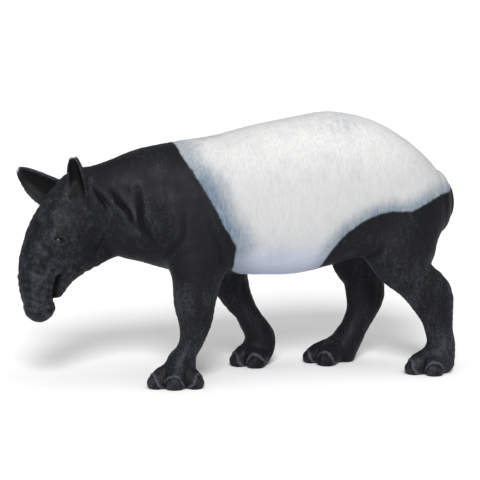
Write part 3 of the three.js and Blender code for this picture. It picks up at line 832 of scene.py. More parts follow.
@dataclass
class Sculpt:
    """Works out how far the moulded detail stands above or below the smooth form, all in mm."""

    points: np.ndarray
    fold_bend: float = 0.8
    pebble: float = 0.19
    snout_ring: float = 0.06
    ring_spacing: float = 2.1
    streak: float = 0.12
    mouth: float = 1.7
    mouth_width: float = 0.55
    rim: float = 0.08
    lump: float = 0.15
    nostril: float = 0.9
    nostril_radius: float = 0.75
    socket: float = 0.5
    lid: float = 0.2
    lid_groove: float = 0.16
    outer_lid: float = 0.06
    cheek_roll: float = 0.3
    hair: float = 0.055
    sinew: float = 0.14
    broad: float = 0.14
    toe_gap: float = 0.45
    nail_root: float = 0.2
    nail_seam: float = 0.24
    nail_plate: float = 0.05
    nail_ridge: float = 0.22

    def __post_init__(self) -> None:
        """Finds which vertices belong to the head and which to the lower legs."""
        self.local = in_head(self.points)
        self.cuticle = np.zeros(len(self.points))
        z = self.points[:, 2]
        self.headness = ramp(-self.points[:, 0] - 0.25 * (z - 45), 38, 44)
        self.lowness = 1 - ramp(z, 26, 34)

    def folds(self) -> np.ndarray:
        """Presses in the creases of neck, shoulder and flank.

        Returns:
            The height at each vertex, in mm.
        """
        x, y, z = self.points.T
        beside = ramp(np.abs(y), 1.5, 5.0)
        x, z = (place + self.fold_bend * bend.at(self.points) for place, bend in zip((x, z), FOLD_BENDS))
        return beside * sum(fold.press(x, z) for fold in FOLDS)

    def face(self) -> np.ndarray:
        """Gives the face its pebbled skin and the snout its rings and streaks.

        Returns:
            The height at each vertex, in mm.
        """
        x, _, z = self.local.T
        coarse, small = (pattern.at(self.points) for pattern in PEBBLES)
        made = self.pebble * self.headness * ramp(z, 24, 34) * (coarse + 0.6 * small)
        level = z + 0.35 * (x + 58) + 0.5 * RING_BENDS.at(self.points)
        rings = self.snout_ring * np.sin(2 * np.pi * level / self.ring_spacing)
        streaks = self.streak * SNOUT_STREAKS.at(self.points)
        return made + (1 - ramp(z, 33, 38)) * self.headness * (rings + streaks)

    def snout(self) -> np.ndarray:
        """Cuts the mouth and the nostrils and rolls the rim of the snout.

        Returns:
            The height at each vertex, in mm.
        """
        x, y, z = self.local.T
        away = line_distance(x, z, MOUTH_LINE)[0]
        below = ramp(MOUTH_CORNER - z, 0, 1.2) * (x > -57.5)
        made = -self.mouth * below * bell(away, 0, self.mouth_width)
        away = line_distance(x, z, SNOUT_RIM)[0]
        made += self.rim * (bell(away, 1.0, 0.5) * (z < 25) - bell(away, 0, 0.45))
        made += self.lump * (1 - ramp(z, 22, 24.5)) * SNOUT_LUMPS.at(self.points)
        hole = (x - NOSTRIL[0]) ** 2 + (np.abs(y) - NOSTRIL[1]) ** 2 + (z - NOSTRIL[2]) ** 2
        return made * self.headness - self.nostril * np.exp(-hole / self.nostril_radius**2)

    def eyes(self) -> np.ndarray:
        """Sinks the sockets and rolls the lids and the skin below them.

        Returns:
            The height at each vertex, in mm.
        """
        x, y, z = self.local.T
        dx, dz = x - EYE_CENTRE[0], z - EYE_CENTRE[2]
        beside = ramp(np.abs(y), 2.5, 4.5) * self.headness
        tilt = 0.3
        along, up = dx - tilt * dz, dz + tilt * dx
        ring = np.hypot(along / 1.4, up / 0.85)
        uneven = 1 + 0.5 * LID_BREAKS.at(self.points)
        made = self.lid * bell(ring, 1.6, 0.4) - self.lid_groove * bell(ring, 2.4, 0.35) * (up < 0.5)
        made = (made + self.outer_lid * bell(ring, 3.1, 0.5)) * uneven - self.socket * bell(ring, 0, 0.95)
        below = np.hypot((x + 59.2) / 0.75, (z - 39.3) / 0.65)
        return (made + self.cheek_roll * bell(below, 0, 1)) * beside

    def coat(self) -> np.ndarray:
        """Draws the hair of the flanks and the sinews of the legs.

        Returns:
            The height at each vertex, in mm.
        """
        long, short = (pattern.at(self.points) for pattern in HAIR)
        made = self.hair * (1 - self.lowness) * (long + 0.6 * short)
        long, short = (pattern.at(self.points) for pattern in SINEWS)
        made += self.sinew * self.lowness * (long + 0.5 * short)
        made += self.broad * BROAD_SWELLS.at(self.points) * ramp(self.points[:, 2], 10, 20)
        return made * (1 - self.headness)

    def toes(self) -> np.ndarray:
        """Shapes a nail on each toe and rolls the skin over its root.

        Returns:
            The height at each vertex, in mm.
        """
        x, y, z = self.points.T
        made = np.zeros(len(x))
        for foot in FEET:
            near = (z < 9) & (np.hypot(x - foot.centre[0], y - foot.centre[1]) < 13)
            if near.any():
                made[near] += self.nails(foot, near)
        return made

    def nails(self, foot: Foot, near: np.ndarray) -> np.ndarray:
        """Shapes the nails of one foot and marks their roots.

        Args:
            foot: The foot.
            near: Which vertices are near it.

        Returns:
            The height at each of those vertices.
        """
        points = self.points[near]
        height = points[:, 2]
        distances = np.stack([chain.distance(points) for chain in foot.chains()], 1)
        own = distances.argmin(1)
        first, second = np.sort(distances, axis=1).T[:2]
        made = -self.toe_gap * bell(second - first, 0, 0.4) * (second < 1.5) * (1 - ramp(height, 3.4, 6.2))
        for i, (angle, reach, size) in enumerate(foot.toes):
            hx, hy = foot.heading(angle)
            dx, dy = points[:, 0] - foot.centre[0], points[:, 1] - foot.centre[1]
            along, across = dx * hx + dy * hy, dx * hy - dy * hx
            parts = (reach + 1.4 - along) / 4.4, across / (2.75 * size), height / 4.2
            ragged = np.sqrt(sum(part**2 for part in parts)) + 0.09 * NAIL_BREAKS.at(points)
            mine = (own == i) & (distances[:, i] < 0.9)
            root = bell(ragged, 1.03, 0.055) * mine
            detail = self.nail_plate * ramp(0.9 - ragged, 0, 0.15) - self.nail_seam * bell(ragged, 0.92, 0.05)
            detail += self.nail_ridge * ramp(0.5 * size - np.abs(across), 0, 0.9) * (1 - ramp(height, 3, 5))
            made += self.nail_root * root + detail * mine
            self.cuticle[near] = np.maximum(self.cuticle[near], root)
        return made

    def ears(self) -> np.ndarray:
        """Finds what share of the detail stays, so that the ears' thin edges are smooth.

        Returns:
            The share at each vertex.
        """
        keep = np.ones(len(self.points))
        for ear in EARS:
            t, across, out = ear.local(self.points).T
            inside = (t > 0.1) & (t < 1.1) & (np.abs(across) < 5) & (np.abs(out) < 4)
            keep = np.where(inside, 1 - 0.75 * ramp(t, 0.1, 0.35), keep)
        return keep

    def height(self) -> np.ndarray:
        """Adds up all the detail's height over the smooth form."""
        detail = self.folds() + self.face() + self.coat() + self.toes()
        return detail * self.ears() + self.snout() + self.eyes()


# ---- painted areas ----


SHOULDER_EDGE_Z = (28.75, 33, 36.4, 40, 42.8, 47, 52, 57, 61, 66, 69.5, 90)
SHOULDER_EDGE_LEFT = (-3.2, -3.6, -4, -3.8, -5.3, -7.8, -10.2, -12.9, -15, -17.9, -18.9, -18.9)
SHOULDER_EDGE_RIGHT = (10.6, 10, 8.6, 6, 3.4, -0.6, -5.4, -10.2, -13.6, -17.5, -18.9, -18.9)
SHOULDER_SPREAD = 9.0
LEG_TOP = 28.7
HAUNCH_EDGE = (
    (90, 54.4),
    (66, 53.6),
    (61.5, 53),
    (57, 51.8),
    (53.5, 50.4),
    (50, 49),
    (47, 48.8),
    (43.6, 49.2),
    (40.2, 48.7),
    (36.4, 47.6),
    (32.8, 46.1),
    (29.6, 43.7),
    (26.9, 40.9),
    (24.9, 38),
    (23.6, 34.8),
    (23.4, 28.75),
)


@dataclass
class PaintPlan:
    """Finds where each colour of paint goes, from the surface's own places in mm."""

    points: np.ndarray
    leg_tops: Tuple[float, float] = (26, 38)
    foot_tops: Tuple[float, float] = (5, 10)
    face_start: Tuple[float, float] = (44, 54)
    face_height: Tuple[float, float] = (24, 34)
    nape_start: Tuple[float, float] = (18, 26)
    nape_height: Tuple[float, float] = (58, 64)
    near_side: Tuple[float, float] = (-4, 6)
    back_height: Tuple[float, float] = (55, 75)

    def shoulder_edge(self) -> np.ndarray:
        """Measures how far each vertex lies behind the edge of the black forequarters, in mm.

        Returns:
            The distance, negative in the black.
        """
        x, y, z = self.points.T
        share = np.clip((y + SHOULDER_SPREAD) / (2 * SHOULDER_SPREAD), 0, 1)

        def edge(height: np.ndarray) -> np.ndarray:
            """Finds where the edge is at a height.

            Args:
                height: Heights in mm.

            Returns:
                The edge's x at each height.
            """
            left = np.interp(height, SHOULDER_EDGE_Z, SHOULDER_EDGE_LEFT)
            right = np.interp(height, SHOULDER_EDGE_Z, SHOULDER_EDGE_RIGHT)
            return left + share * (right - left)

        lean = (edge(z + 1) - edge(z - 1)) / 2
        return (x - edge(z)) / np.sqrt(1 + lean**2)

    def haunch_edge(self) -> np.ndarray:
        """Measures how far each vertex lies above the edge of the black hindquarters, in mm.

        Returns:
            The distance, negative in the black.
        """
        x, _, z = self.points.T
        away, _ = line_distance(x, z, HAUNCH_EDGE)
        line = np.asarray(HAUNCH_EDGE[::-1], float)
        above = (z > np.interp(x, line[:, 0], line[:, 1])) | (x < line[0, 0])
        return np.where(above, away, -away)

    def brushing_with_far_shade(self) -> np.ndarray:
        """Finds where light paint was dry-brushed over the black: the lower legs, the face and the nape, with
        painted shade on the far side's legs, which get much less of it.

        Returns:
            The share of it at each vertex, from 0 to 1.
        """
        x, y, z = self.points.T
        legs = (1 - ramp(z, *self.leg_tops)) * (0.75 + 0.25 * ramp(z, *self.foot_tops))
        face = ramp(-x, *self.face_start) * (0.3 + 0.7 * ramp(z, *self.face_height))
        nape = ramp(z, *self.nape_height) * ramp(-x, *self.nape_start)
        # The far side's legs keep only a tenth of it: painted shade under the body.
        nearer = 0.1 + 0.9 * ramp(-y, *self.near_side)
        return np.clip(0.95 * legs * nearer + 0.65 * face + 0.35 * nape, 0, 1)

    def painted_top_light(self) -> np.ndarray:
        """Finds where the white is painted brighter towards the top of the back, a painted top light, from 0
        to 1.
        """
        return ramp(self.points[:, 2], *self.back_height)

    def ear_hollows(self) -> np.ndarray:
        """Finds how deep in an ear's cup each vertex lies, from 0 to 1, with the rims at less than 0. The
        paint turns it into painted shade in the cups and a painted highlight on the rims.

        Returns:
            The depth at each vertex.
        """
        made = np.zeros(len(self.points))
        for ear in EARS:
            t, across, out = ear.local(self.points).T
            half = ear.half_at(np.clip(t, 0, 0.97))
            q = across / half
            near = (np.abs(q) < 1.3) & (np.abs(out) < 4) & (t > -0.05) & (t < 1.1)
            front = out + ear.cup * half / ear.half_width * (1 - np.clip(q, -1, 1) ** 2) > 0.1
            deep = (1 - ramp(np.abs(q), 0.5, 0.95)) * ramp(t, 0.0, 0.2) * (1 - ramp(t, 0.8, 0.97)) * front
            rim = ramp(np.abs(q), 0.75, 0.95) * ramp(t, 0.05, 0.2)
            made = np.where(near, deep - 0.6 * rim, made)
        return made

    def ear_tips(self) -> np.ndarray:
        """Finds the white tips of the ears, from 0 to 1.

        Returns:
            The share of white at each vertex.
        """
        made = np.zeros(len(self.points))
        for ear in EARS:
            t, across, out = ear.local(self.points).T
            near = (np.abs(across) < 5) & (np.abs(out) < 4) & (t < 1.2)
            made = np.maximum(made, ramp(t, 0.95, 0.99) * near)
        return made


# ---- materials ----


Socket = bpy.types.NodeSocket
Value = Union[Socket, float, Tuple[float, ...]]


class Graph:
    """Wires shader nodes in one node tree."""

    def __init__(self, tree: bpy.types.NodeTree) -> None:
        """Takes the node tree to work in."""
        self.tree = tree

    def node(self, kind: str, **settings: object) -> bpy.types.Node:
        """Adds a node.

        Args:
            kind: The node's type name.
            **settings: Properties to set on it.

        Returns:
            The node.
        """
        made = self.tree.nodes.new(kind)
        for name, value in settings.items():
            setattr(made, name, value)
        return made

    def feed(self, socket: Socket, value: Value) -> None:
        """Links an input to another socket or sets a plain value on it.

        Args:
            socket: The input.
            value: A socket, a number or a colour.
        """
        if isinstance(value, Socket):
            self.tree.links.new(value, socket)
        else:
            socket.default_value = value

    def maths(self, operation: str, *values: Value, clamp: bool = False) -> Socket:
        """Adds a maths node.

        Args:
            operation: Its operation.
            *values: Sockets or numbers.
            clamp: Whether the result stays within 0 and 1.

        Returns:
            The result's socket.
        """
        made = self.node("ShaderNodeMath", operation=operation, use_clamp=clamp)
        for socket, value in zip(made.inputs, values):
            self.feed(socket, value)
        return made.outputs[0]

    def plus(self, first: Value, second: Value) -> Socket:
        """Adds two values."""
        return self.maths("ADD", first, second)

    def times(self, first: Value, second: Value, clamp: bool = False) -> Socket:
        """Multiplies two values."""
        return self.maths("MULTIPLY", first, second, clamp=clamp)

    def centred(self, value: Value, size: float) -> Socket:
        """Turns a value from 0 to 1 into one of that size around 0."""
        return self.times(self.maths("SUBTRACT", value, 0.5), size)

    def ramped(self, value: Value, low: float, high: float, first: float = 0.0, last: float = 1.0) -> Socket:
        """Maps a value smoothly from low..high to first..last.

        Args:
            value: The socket to map.
            low: Where the result is first.
            high: Where it is last.
            first: The result at low.
            last: The result at high.

        Returns:
            The mapped socket.
        """
        made = self.node("ShaderNodeMapRange", interpolation_type="SMOOTHSTEP")
        names = ("Value", "From Min", "From Max", "To Min", "To Max")
        for name, entry in zip(names, (value, low, high, first, last)):
            self.feed(made.inputs[name], entry)
        return made.outputs["Result"]

    def mixed(self, share: Value, first: Value, second: Value) -> Socket:
        """Mixes two colours.

        Args:
            share: How much of the second.
            first: The first colour.
            second: The second colour.

        Returns:
            The mixed colour's socket.
        """
        made = self.node("ShaderNodeMix", data_type="RGBA")
        colours = [s for s in made.inputs if s.type == "RGBA"]
        self.feed(made.inputs[0], share)
        self.feed(colours[0], first)
        self.feed(colours[1], second)
        return next(s for s in made.outputs if s.type == "RGBA")

    def noise(self, place: Socket, size: Sequence[float], detail: float, rough: float) -> Socket:
        """Adds stretched noise.

        Args:
            place: The place socket, in mm.
            size: Width of a patch along x, y and z, in mm.
            detail: Finer octaves.
            rough: Strength of the finer octaves.

        Returns:
            The noise's socket, from 0 to 1.
        """
        scaled = self.node("ShaderNodeVectorMath", operation="DIVIDE")
        self.feed(scaled.inputs[0], place)
        scaled.inputs[1].default_value = tuple(size)
        made = self.node("ShaderNodeTexNoise", noise_dimensions="3D")
        self.feed(made.inputs["Vector"], scaled.outputs[0])
        made.inputs["Scale"].default_value = 1.0
        made.inputs["Detail"].default_value = detail
        made.inputs["Roughness"].default_value = rough
        return made.outputs[0]

    def attribute(self, name: str) -> Socket:
        """Reads a number that the mesh holds at each vertex."""
        return self.node("ShaderNodeAttribute", attribute_type="GEOMETRY", attribute_name=name).outputs["Fac"]

    def place_mm(self) -> Socket:
        """Gives the place on the object, in mm."""
        scaled = self.node("ShaderNodeVectorMath", operation="SCALE")
        self.feed(scaled.inputs[0], self.node("ShaderNodeTexCoord").outputs["Object"])
        scaled.inputs["Scale"].default_value = 1 / MM
        return scaled.outputs[0]


def paint_tooth_group() -> bpy.types.NodeTree:
    """Builds the fine relief of brushed paint over sculpted hair, shared by the painted finishes.

    Returns:
        A node group with the strokes, the grain, the mottle and the height, each varying over the surface.
    """
    tree = bpy.data.node_groups.new("paint_tooth", "ShaderNodeTree")
    for name in ("Strokes", "Grain", "Mottle", "Height"):
        tree.interface.new_socket(name, in_out="OUTPUT", socket_type="NodeSocketFloat")
    graph = Graph(tree)
    place = graph.place_mm()
    strokes = graph.noise(place, (0.42, 0.7, 2.6), 3.0, 0.6)
    grain = graph.noise(place, (0.5, 0.5, 0.55), 3.0, 0.65)
    mottle = graph.noise(place, (5.0, 5.0, 7.0), 3.0, 0.55)
    height = graph.plus(graph.times(strokes, 0.7), graph.times(grain, 0.45))
    out = graph.node("NodeGroupOutput")
    for name, socket in (("Strokes", strokes), ("Grain", grain), ("Mottle", mottle), ("Height", height)):
        graph.feed(out.inputs[name], socket)
    return tree


@dataclass(frozen=True)
class Finish:
    """A surface finish: what its own shader holds that is the same all over."""

    name: str
    specular: float
    coat: float
    coat_roughness: float

    def start(self) -> Tuple[bpy.types.Material, Graph, bpy.types.Node]:
        """Makes the material with an empty shader.

        Returns:
            The material, its graph and its shader node.
        """
        material = bpy.data.materials.new(self.name)
        material.use_nodes = True
        material.node_tree.nodes.clear()
        graph = Graph(material.node_tree)
        shader = graph.node("ShaderNodeBsdfPrincipled")
        shader.inputs["Specular IOR Level"].default_value = self.specular
        shader.inputs["Coat Weight"].default_value = self.coat
        shader.inputs["Coat Roughness"].default_value = self.coat_roughness
        graph.feed(graph.node("ShaderNodeOutputMaterial").inputs["Surface"], shader.outputs[0])
        return material, graph, shader


@dataclass(frozen=True)
class SkinPaint(Finish):
    """Black and white paint with airbrushed edges over the moulded skin, with painted shade in creases, ear
    cups, on the underside and on the far legs, and painted light along the back and on the ear rims.
    """

    black: Colour = (0.0052, 0.0055, 0.0072, 1)
    # dark: painted shade in sunk creases, the mouth, nostrils and eye sockets, and deep in the ears' cups
    dark: Colour = (0.0015, 0.0015, 0.002, 1)
    brushed: Colour = (0.034, 0.036, 0.045, 1)
    white: Colour = (0.425, 0.425, 0.42, 1)
    # brighter white towards the top of the back: painted top light
    painted_top_light: Colour = (0.555, 0.552, 0.545, 1)
    # lilac: a random mottle in the white, and painted shade in its fine stroke grooves
    lilac: Colour = (0.35, 0.35, 0.365, 1)
    haze: Colour = (0.09, 0.13, 0.18, 1)
    # blue-grey of the underside: partly airbrushed tint, partly painted shade
    belly: Colour = (0.4, 0.44, 0.56, 1)
    cuticle: Colour = (0.085, 0.085, 0.1, 1)
    tip: Colour = (0.75, 0.75, 0.76, 1)
    haze_starts: Tuple[float, float] = (0.8, 0.2)
    haze_ends: Tuple[float, float] = (10.0, 6.4)
    haze_strengths: Tuple[float, float] = (1.0, 0.9)
    haze_falloff: float = 1.5
    relief_light: float = 2.2
    brushing_light: float = 0.42
    hollow_shade: float = 0.7
    bump_strength: float = 0.55
    bump_depth: float = 0.12

    def edges(self, graph: Graph, strokes: Socket) -> List[Socket]:
        """Makes the two paint edges uneven.

        Args:
            graph: The material's graph.
            strokes: The pattern of brush strokes.

        Returns:
            How far each place lies into the white from the shoulders' and the haunches' edge, in mm.
        """
        wobble = graph.centred(graph.noise(graph.place_mm(), (2.2, 2.2, 2.2), 2.0, 0.5), 0.8)
        feather = graph.centred(strokes, 0.3)
        names = ("shoulder_edge", "haunch_edge")
        return [graph.plus(graph.plus(graph.attribute(name), wobble), feather) for name in names]

    def light_parts(self, graph: Graph, relief: bpy.types.Node, edges: List[Socket]) -> Socket:
        """Mixes the white with its mottle, painted top light along the back, painted shade in its creases and
        fine grooves, the belly's blue-grey, partly tint and partly painted shade, and the airbrushed haze
        beside the black.

        Args:
            graph: The material's graph.
            relief: The shared relief group's node.
            edges: How far each place lies into the white from each edge.

        Returns:
            The colour of the white parts.
        """
        strokes, mottle = relief.outputs["Strokes"], relief.outputs["Mottle"]
        painted_top_light, belly = graph.attribute("painted_top_light"), graph.attribute("belly")
        cloud = graph.noise(graph.place_mm(), (9.0, 9.0, 6.0), 3.0, 0.6)
        reaches = zip(edges, self.haze_starts, self.haze_ends, self.haze_strengths)
        before, behind = (graph.ramped(*reach, 0.0) for reach in reaches)
        haze = graph.maths("POWER", graph.maths("MAXIMUM", before, behind), self.haze_falloff)
        haze = graph.times(haze, graph.ramped(cloud, 0.25, 0.7, 0.75, 1.0))
        haze = graph.times(haze, graph.ramped(painted_top_light, 0.0, 1.0, 1.0, 0.35))
        haze = graph.times(haze, graph.ramped(strokes, 0.2, 0.8, 1.15, 0.8), clamp=True)
        haze = graph.times(haze, graph.ramped(belly, 0.0, 1.0, 1.0, 0.4))
        # painted top light: the white brightens towards the top of the back
        made = graph.mixed(painted_top_light, self.white, self.painted_top_light)
        made = graph.mixed(graph.ramped(mottle, 0.42, 0.72, 0.0, 0.25), made, self.lilac)
        # painted shade: lilac-grey in the low parts of the fine strokes, where the bump sinks
        made = graph.mixed(graph.ramped(strokes, 0.36, 0.6, 0.4, 0.0), made, self.lilac)
        # painted shade: blue-grey haze in the sunk creases of the white
        made = graph.mixed(graph.ramped(graph.attribute("relief"), -0.25, 0.0, 0.5, 0.0), made, self.haze)
        # blue-grey underside: airbrushed tint, and painted shade where it faces down
        made = graph.mixed(belly, made, self.belly)
        return graph.mixed(haze, made, self.haze)

    def dark_parts(self, graph: Graph, relief: bpy.types.Node) -> Socket:
        """Mixes the black with its dry-brushed light paint, painted shade in the creases and the ears' cups,
        a painted highlight on the ears' rims, the nails' roots and the ears' white tips.

        Args:
            graph: The material's graph.
            relief: The shared relief group's node.

        Returns:
            The colour of the black parts.
        """
        strokes, grain, mottle = (relief.outputs[k] for k in ("Strokes", "Grain", "Mottle"))
        height, hollow = graph.attribute("relief"), graph.attribute("ear_hollow")
        dry = graph.times(height, self.relief_light)
        dry = graph.plus(dry, graph.ramped(grain, 0.35, 0.65, -0.26, 0.26))
        # dry-brushed light paint, much less on the far legs as painted shade
        dry = graph.plus(dry, graph.times(graph.attribute("brushing_with_far_shade"), self.brushing_light))
        # painted shade in the ears' cups, and a painted highlight on their rims, where the value is below 0
        dry = graph.maths("SUBTRACT", dry, graph.times(hollow, self.hollow_shade))
        dry = graph.plus(dry, graph.ramped(mottle, 0.3, 0.75, -0.1, 0.08))
        dry = graph.plus(dry, graph.ramped(strokes, 0.35, 0.65, -0.26, 0.1))
        # painted shade: near-black in the sunk creases, the mouth, the nostrils and the eye sockets
        made = graph.mixed(graph.ramped(height, -0.45, -0.05, 1.0, 0.0), self.black, self.dark)
        # painted shade deep in the ears' cups
        made = graph.mixed(graph.ramped(hollow, 0.1, 0.8), made, self.dark)
        made = graph.mixed(graph.ramped(dry, -0.1, 1.1, 0.0, 0.95), made, self.brushed)
        made = graph.mixed(graph.times(graph.attribute("cuticle"), 0.6), made, self.cuticle)
        return graph.mixed(graph.attribute("ear_tip"), made, self.tip)

    def build(self, tooth: bpy.types.NodeTree) -> bpy.types.Material:
        """Builds the material.

        Args:
            tooth: The shared relief group.

        Returns:
            The material.
        """
        material, graph, shader = self.start()
        relief = graph.node("ShaderNodeGroup", node_tree=tooth)
        edges = self.edges(graph, relief.outputs["Strokes"])
        from_edge = graph.maths("MINIMUM", graph.maths("MINIMUM", *edges), graph.attribute("leg_edge"))
        dark, light = self.dark_parts(graph, relief), self.light_parts(graph, relief, edges)
        graph.feed(shader.inputs["Base Color"], graph.mixed(graph.ramped(from_edge, -0.35, 0.5), dark, light))
        graph.feed(shader.inputs["Roughness"], graph.ramped(relief.outputs["Mottle"], 0.3, 0.7, 0.62, 0.5))
        bump = graph.node("ShaderNodeBump")
        bump.inputs["Strength"].default_value = self.bump_strength
        bump.inputs["Distance"].default_value = self.bump_depth * MM
        graph.feed(bump.inputs["Height"], relief.outputs["Height"])
        graph.feed(shader.inputs["Normal"], bump.outputs["Normal"])
        return material


@dataclass(frozen=True)
class EyeGloss(Finish):
    """A drop of gloss over near-black paint."""

    iris: Colour = (0.005, 0.004, 0.0035, 1)
    rim: Colour = (0.002, 0.002, 0.002, 1)

    def build(self) -> bpy.types.Material:
        """Builds the material.

        Returns:
            The material.
        """
        material, graph, shader = self.start()
        cloud = graph.noise(graph.place_mm(), (0.5, 0.5, 0.5), 3.0, 0.6)
        colour = graph.mixed(graph.ramped(cloud, 0.3, 0.7), self.rim, self.iris)
        graph.feed(shader.inputs["Base Color"], colour)
        graph.feed(shader.inputs["Roughness"], graph.ramped(cloud, 0.3, 0.8, 0.07, 0.14))
        return material


@dataclass(frozen=True)
class GroundPaper(Finish):
    """Plain white paper under the figure."""

    tone: float = 0.93
    roughness: float = 0.9

    def build(self) -> bpy.types.Material:
        """Builds the material.

        Returns:
            The material.
        """
        material, _, shader = self.start()
        shader.inputs["Base Color"].default_value = (self.tone, self.tone, self.tone, 1)
        shader.inputs["Roughness"].default_value = self.roughness
        return material


# ---- pieces ----


def mesh_object(name: str, vertices: np.ndarray, faces: np.ndarray, smooth: bool = True) -> bpy.types.Object:
    """Makes a mesh object from arrays.

    Args:
        name: The object's name.
        vertices: Vertices in metres, one row each.
        faces: Faces of three or four vertices, one row each.
        smooth: Whether the faces are shaded smooth.

    Returns:
        The object, linked into the scene.
    """
    mesh = bpy.data.meshes.new(name)
    corners = faces.shape[1]
    mesh.vertices.add(len(vertices))
    mesh.vertices.foreach_set("co", vertices.astype(np.float32).ravel())
    mesh.loops.add(faces.size)
    mesh.loops.foreach_set("vertex_index", faces.astype(np.int32).ravel())
    mesh.polygons.add(len(faces))
    mesh.polygons.foreach_set("loop_start", np.arange(0, faces.size, corners, dtype=np.int32))
    mesh.polygons.foreach_set("use_smooth", np.full(len(faces), smooth))
    mesh.update(calc_edges=True)
    mesh.validate()
    made = bpy.data.objects.new(name, mesh)
    bpy.context.scene.collection.objects.link(made)
    return made


SKIN_NODES = (
    *("head", "proboscis", "ear_left", "ear_right", "neck", "shoulders", "saddle"),
    *("haunch_left", "haunch_right", "tail"),
    *("fore_leg_left", "fore_leg_right", "hind_leg_left", "hind_leg_right"),
    *("fore_foot_left", "fore_foot_right", "hind_foot_left", "hind_foot_right"),
)


@dataclass(frozen=True)
class Skin:
    """The painted outer skin of the whole figure: its form, its grid and its place in the row frame."""

    form: Form
    grid: Grid
    shift: np.ndarray
    sole_height: float = 0.12
    settling: int = 2
    longest_step: float = 0.4
    detail_start: float = 0.8
    underside_tint_and_shade: float = 0.85
    belly_height: Tuple[float, float] = (32, 47)

    def surface(self) -> Tuple[np.ndarray, np.ndarray, np.ndarray]:
        """Meshes the smooth form.

        Returns:
            The vertices in mm, their outward directions and the quads.
        """
        lines = self.grid.lines()
        places = np.stack(np.meshgrid(*lines, indexing="ij"), -1).reshape(-1, 3)
        field = np.maximum(self.form.distance(places), -places[:, 2])
        vertices, quads = surface_net(field.reshape([len(line) for line in lines]), lines)
        sole = vertices[:, 2] < self.sole_height
        for _ in range(self.settling):
            at = self.form.distance(vertices)
            slope = self.form.slope(vertices, at)
            size = np.linalg.norm(slope, axis=1)
            step = np.clip(at / np.maximum(size, 0.3), -self.longest_step, self.longest_step)
            moved = vertices - (step / np.maximum(size, 1e-6))[:, None] * slope
            vertices = np.where(sole[:, None], vertices, moved)
        vertices[sole, 2] = 0.0
        vertices[:, 2] = np.maximum(vertices[:, 2], 0.0)
        normals = slope / np.maximum(size, 1e-6)[:, None]
        normals[sole] = (0, 0, -1)
        return vertices, normals, quads

    def build(self) -> bpy.types.Object:
        """Builds the skin with its sculpted detail and what its paint reads.

        Returns:
            The skin, not dressed yet.
        """
        vertices, normals, quads = self.surface()
        sculpt = Sculpt(vertices)
        height = sculpt.height() * ramp(vertices[:, 2], 0.0, self.detail_start)
        places = vertices + height[:, None] * normals + self.shift
        made = mesh_object("painted_skin", places * MM, quads)
        plan = PaintPlan(vertices)
        # Blue-grey on the low underside: partly an airbrushed tint, partly painted shade on faces that turn
        # down.
        below = ramp(-normals[:, 2], -0.15, 0.7) * (1 - ramp(vertices[:, 2], *self.belly_height))
        for name, values in (
            ("shoulder_edge", plan.shoulder_edge()),
            ("haunch_edge", plan.haunch_edge()),
            ("leg_edge", vertices[:, 2] - LEG_TOP),
            ("ear_tip", plan.ear_tips()),
            ("ear_hollow", plan.ear_hollows()),
            ("brushing_with_far_shade", plan.brushing_with_far_shade()),
            ("painted_top_light", plan.painted_top_light()),
            ("cuticle", sculpt.cuticle),
            ("belly", self.underside_tint_and_shade * below),
            ("relief", height),
        ):
            layer = made.data.attributes.new(name, "FLOAT", "POINT")
            layer.data.foreach_set("value", values.astype(np.float32))
        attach(made, "root")
        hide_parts(*SKIN_NODES)
        return made

    def dress(self, skin: bpy.types.Object, paint: bpy.types.Material) -> None:
        """Paints the skin's object."""
        skin.data.materials.append(paint)


@dataclass(frozen=True)
class Eye:
    """One eye: a ball with a slightly fuller front, its gaze given in the head's own frame."""

    side: Side
    radius: float = 1.22
    fullness: float = 0.12
    front_spread: float = 0.7
    gaze: Point = (-0.4, 1.0, 0.1)
    rings: int = 20
    sectors: int = 32

    def build(self, shift: np.ndarray) -> bpy.types.Object:
        """Builds the eye.

        Args:
            shift: From the figure's frame to the row frame, in mm.

        Returns:
            The eye, not dressed yet.
        """
        mirror = np.array([1.0, self.side.value, 1.0])
        centre = np.array(from_head(tuple(mirror * EYE_CENTRE))) + shift
        ahead = np.array(from_head(tuple(mirror * np.add(EYE_CENTRE, self.gaze)))) + shift
        out = (ahead - centre) / np.linalg.norm(ahead - centre)
        across = np.cross((0, 0, 1), out)
        across /= np.linalg.norm(across)
        up = np.cross(out, across)
        rows = [out[None] * (self.radius + self.fullness)]
        for ring in range(1, self.rings):
            polar = math.pi * ring / self.rings
            turn = 2 * math.pi * np.arange(self.sectors) / self.sectors
            length = self.radius + self.fullness * math.exp(-((polar / self.front_spread) ** 2))
            flat = math.sin(polar) * (np.cos(turn)[:, None] * across + np.sin(turn)[:, None] * up)
            rows.append(length * (flat + math.cos(polar) * out))
        rows.append(-out[None] * self.radius)
        vertices = np.vstack(rows) + centre
        last = len(vertices) - 1
        faces = []
        for s in range(self.sectors):
            n = (s + 1) % self.sectors
            faces.append((0, 1 + s, 1 + n))
            for ring in range(self.rings - 2):
                a = 1 + ring * self.sectors
                b = a + self.sectors
                faces += [(a + s, b + s, b + n), (a + s, b + n, a + n)]
            tail = 1 + (self.rings - 2) * self.sectors
            faces.append((tail + s, last, tail + n))
        side = self.side.name.lower()
        made = mesh_object(f"eye_drop_{side}", vertices * MM, np.array(faces))
        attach(made, "root")
        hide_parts(f"eye_{side}")
        return made

    def dress(self, eye: bpy.types.Object, gloss: bpy.types.Material) -> None:
        """Paints the eye's object."""
        eye.data.materials.append(gloss)


# ---- ground, light and camera ----


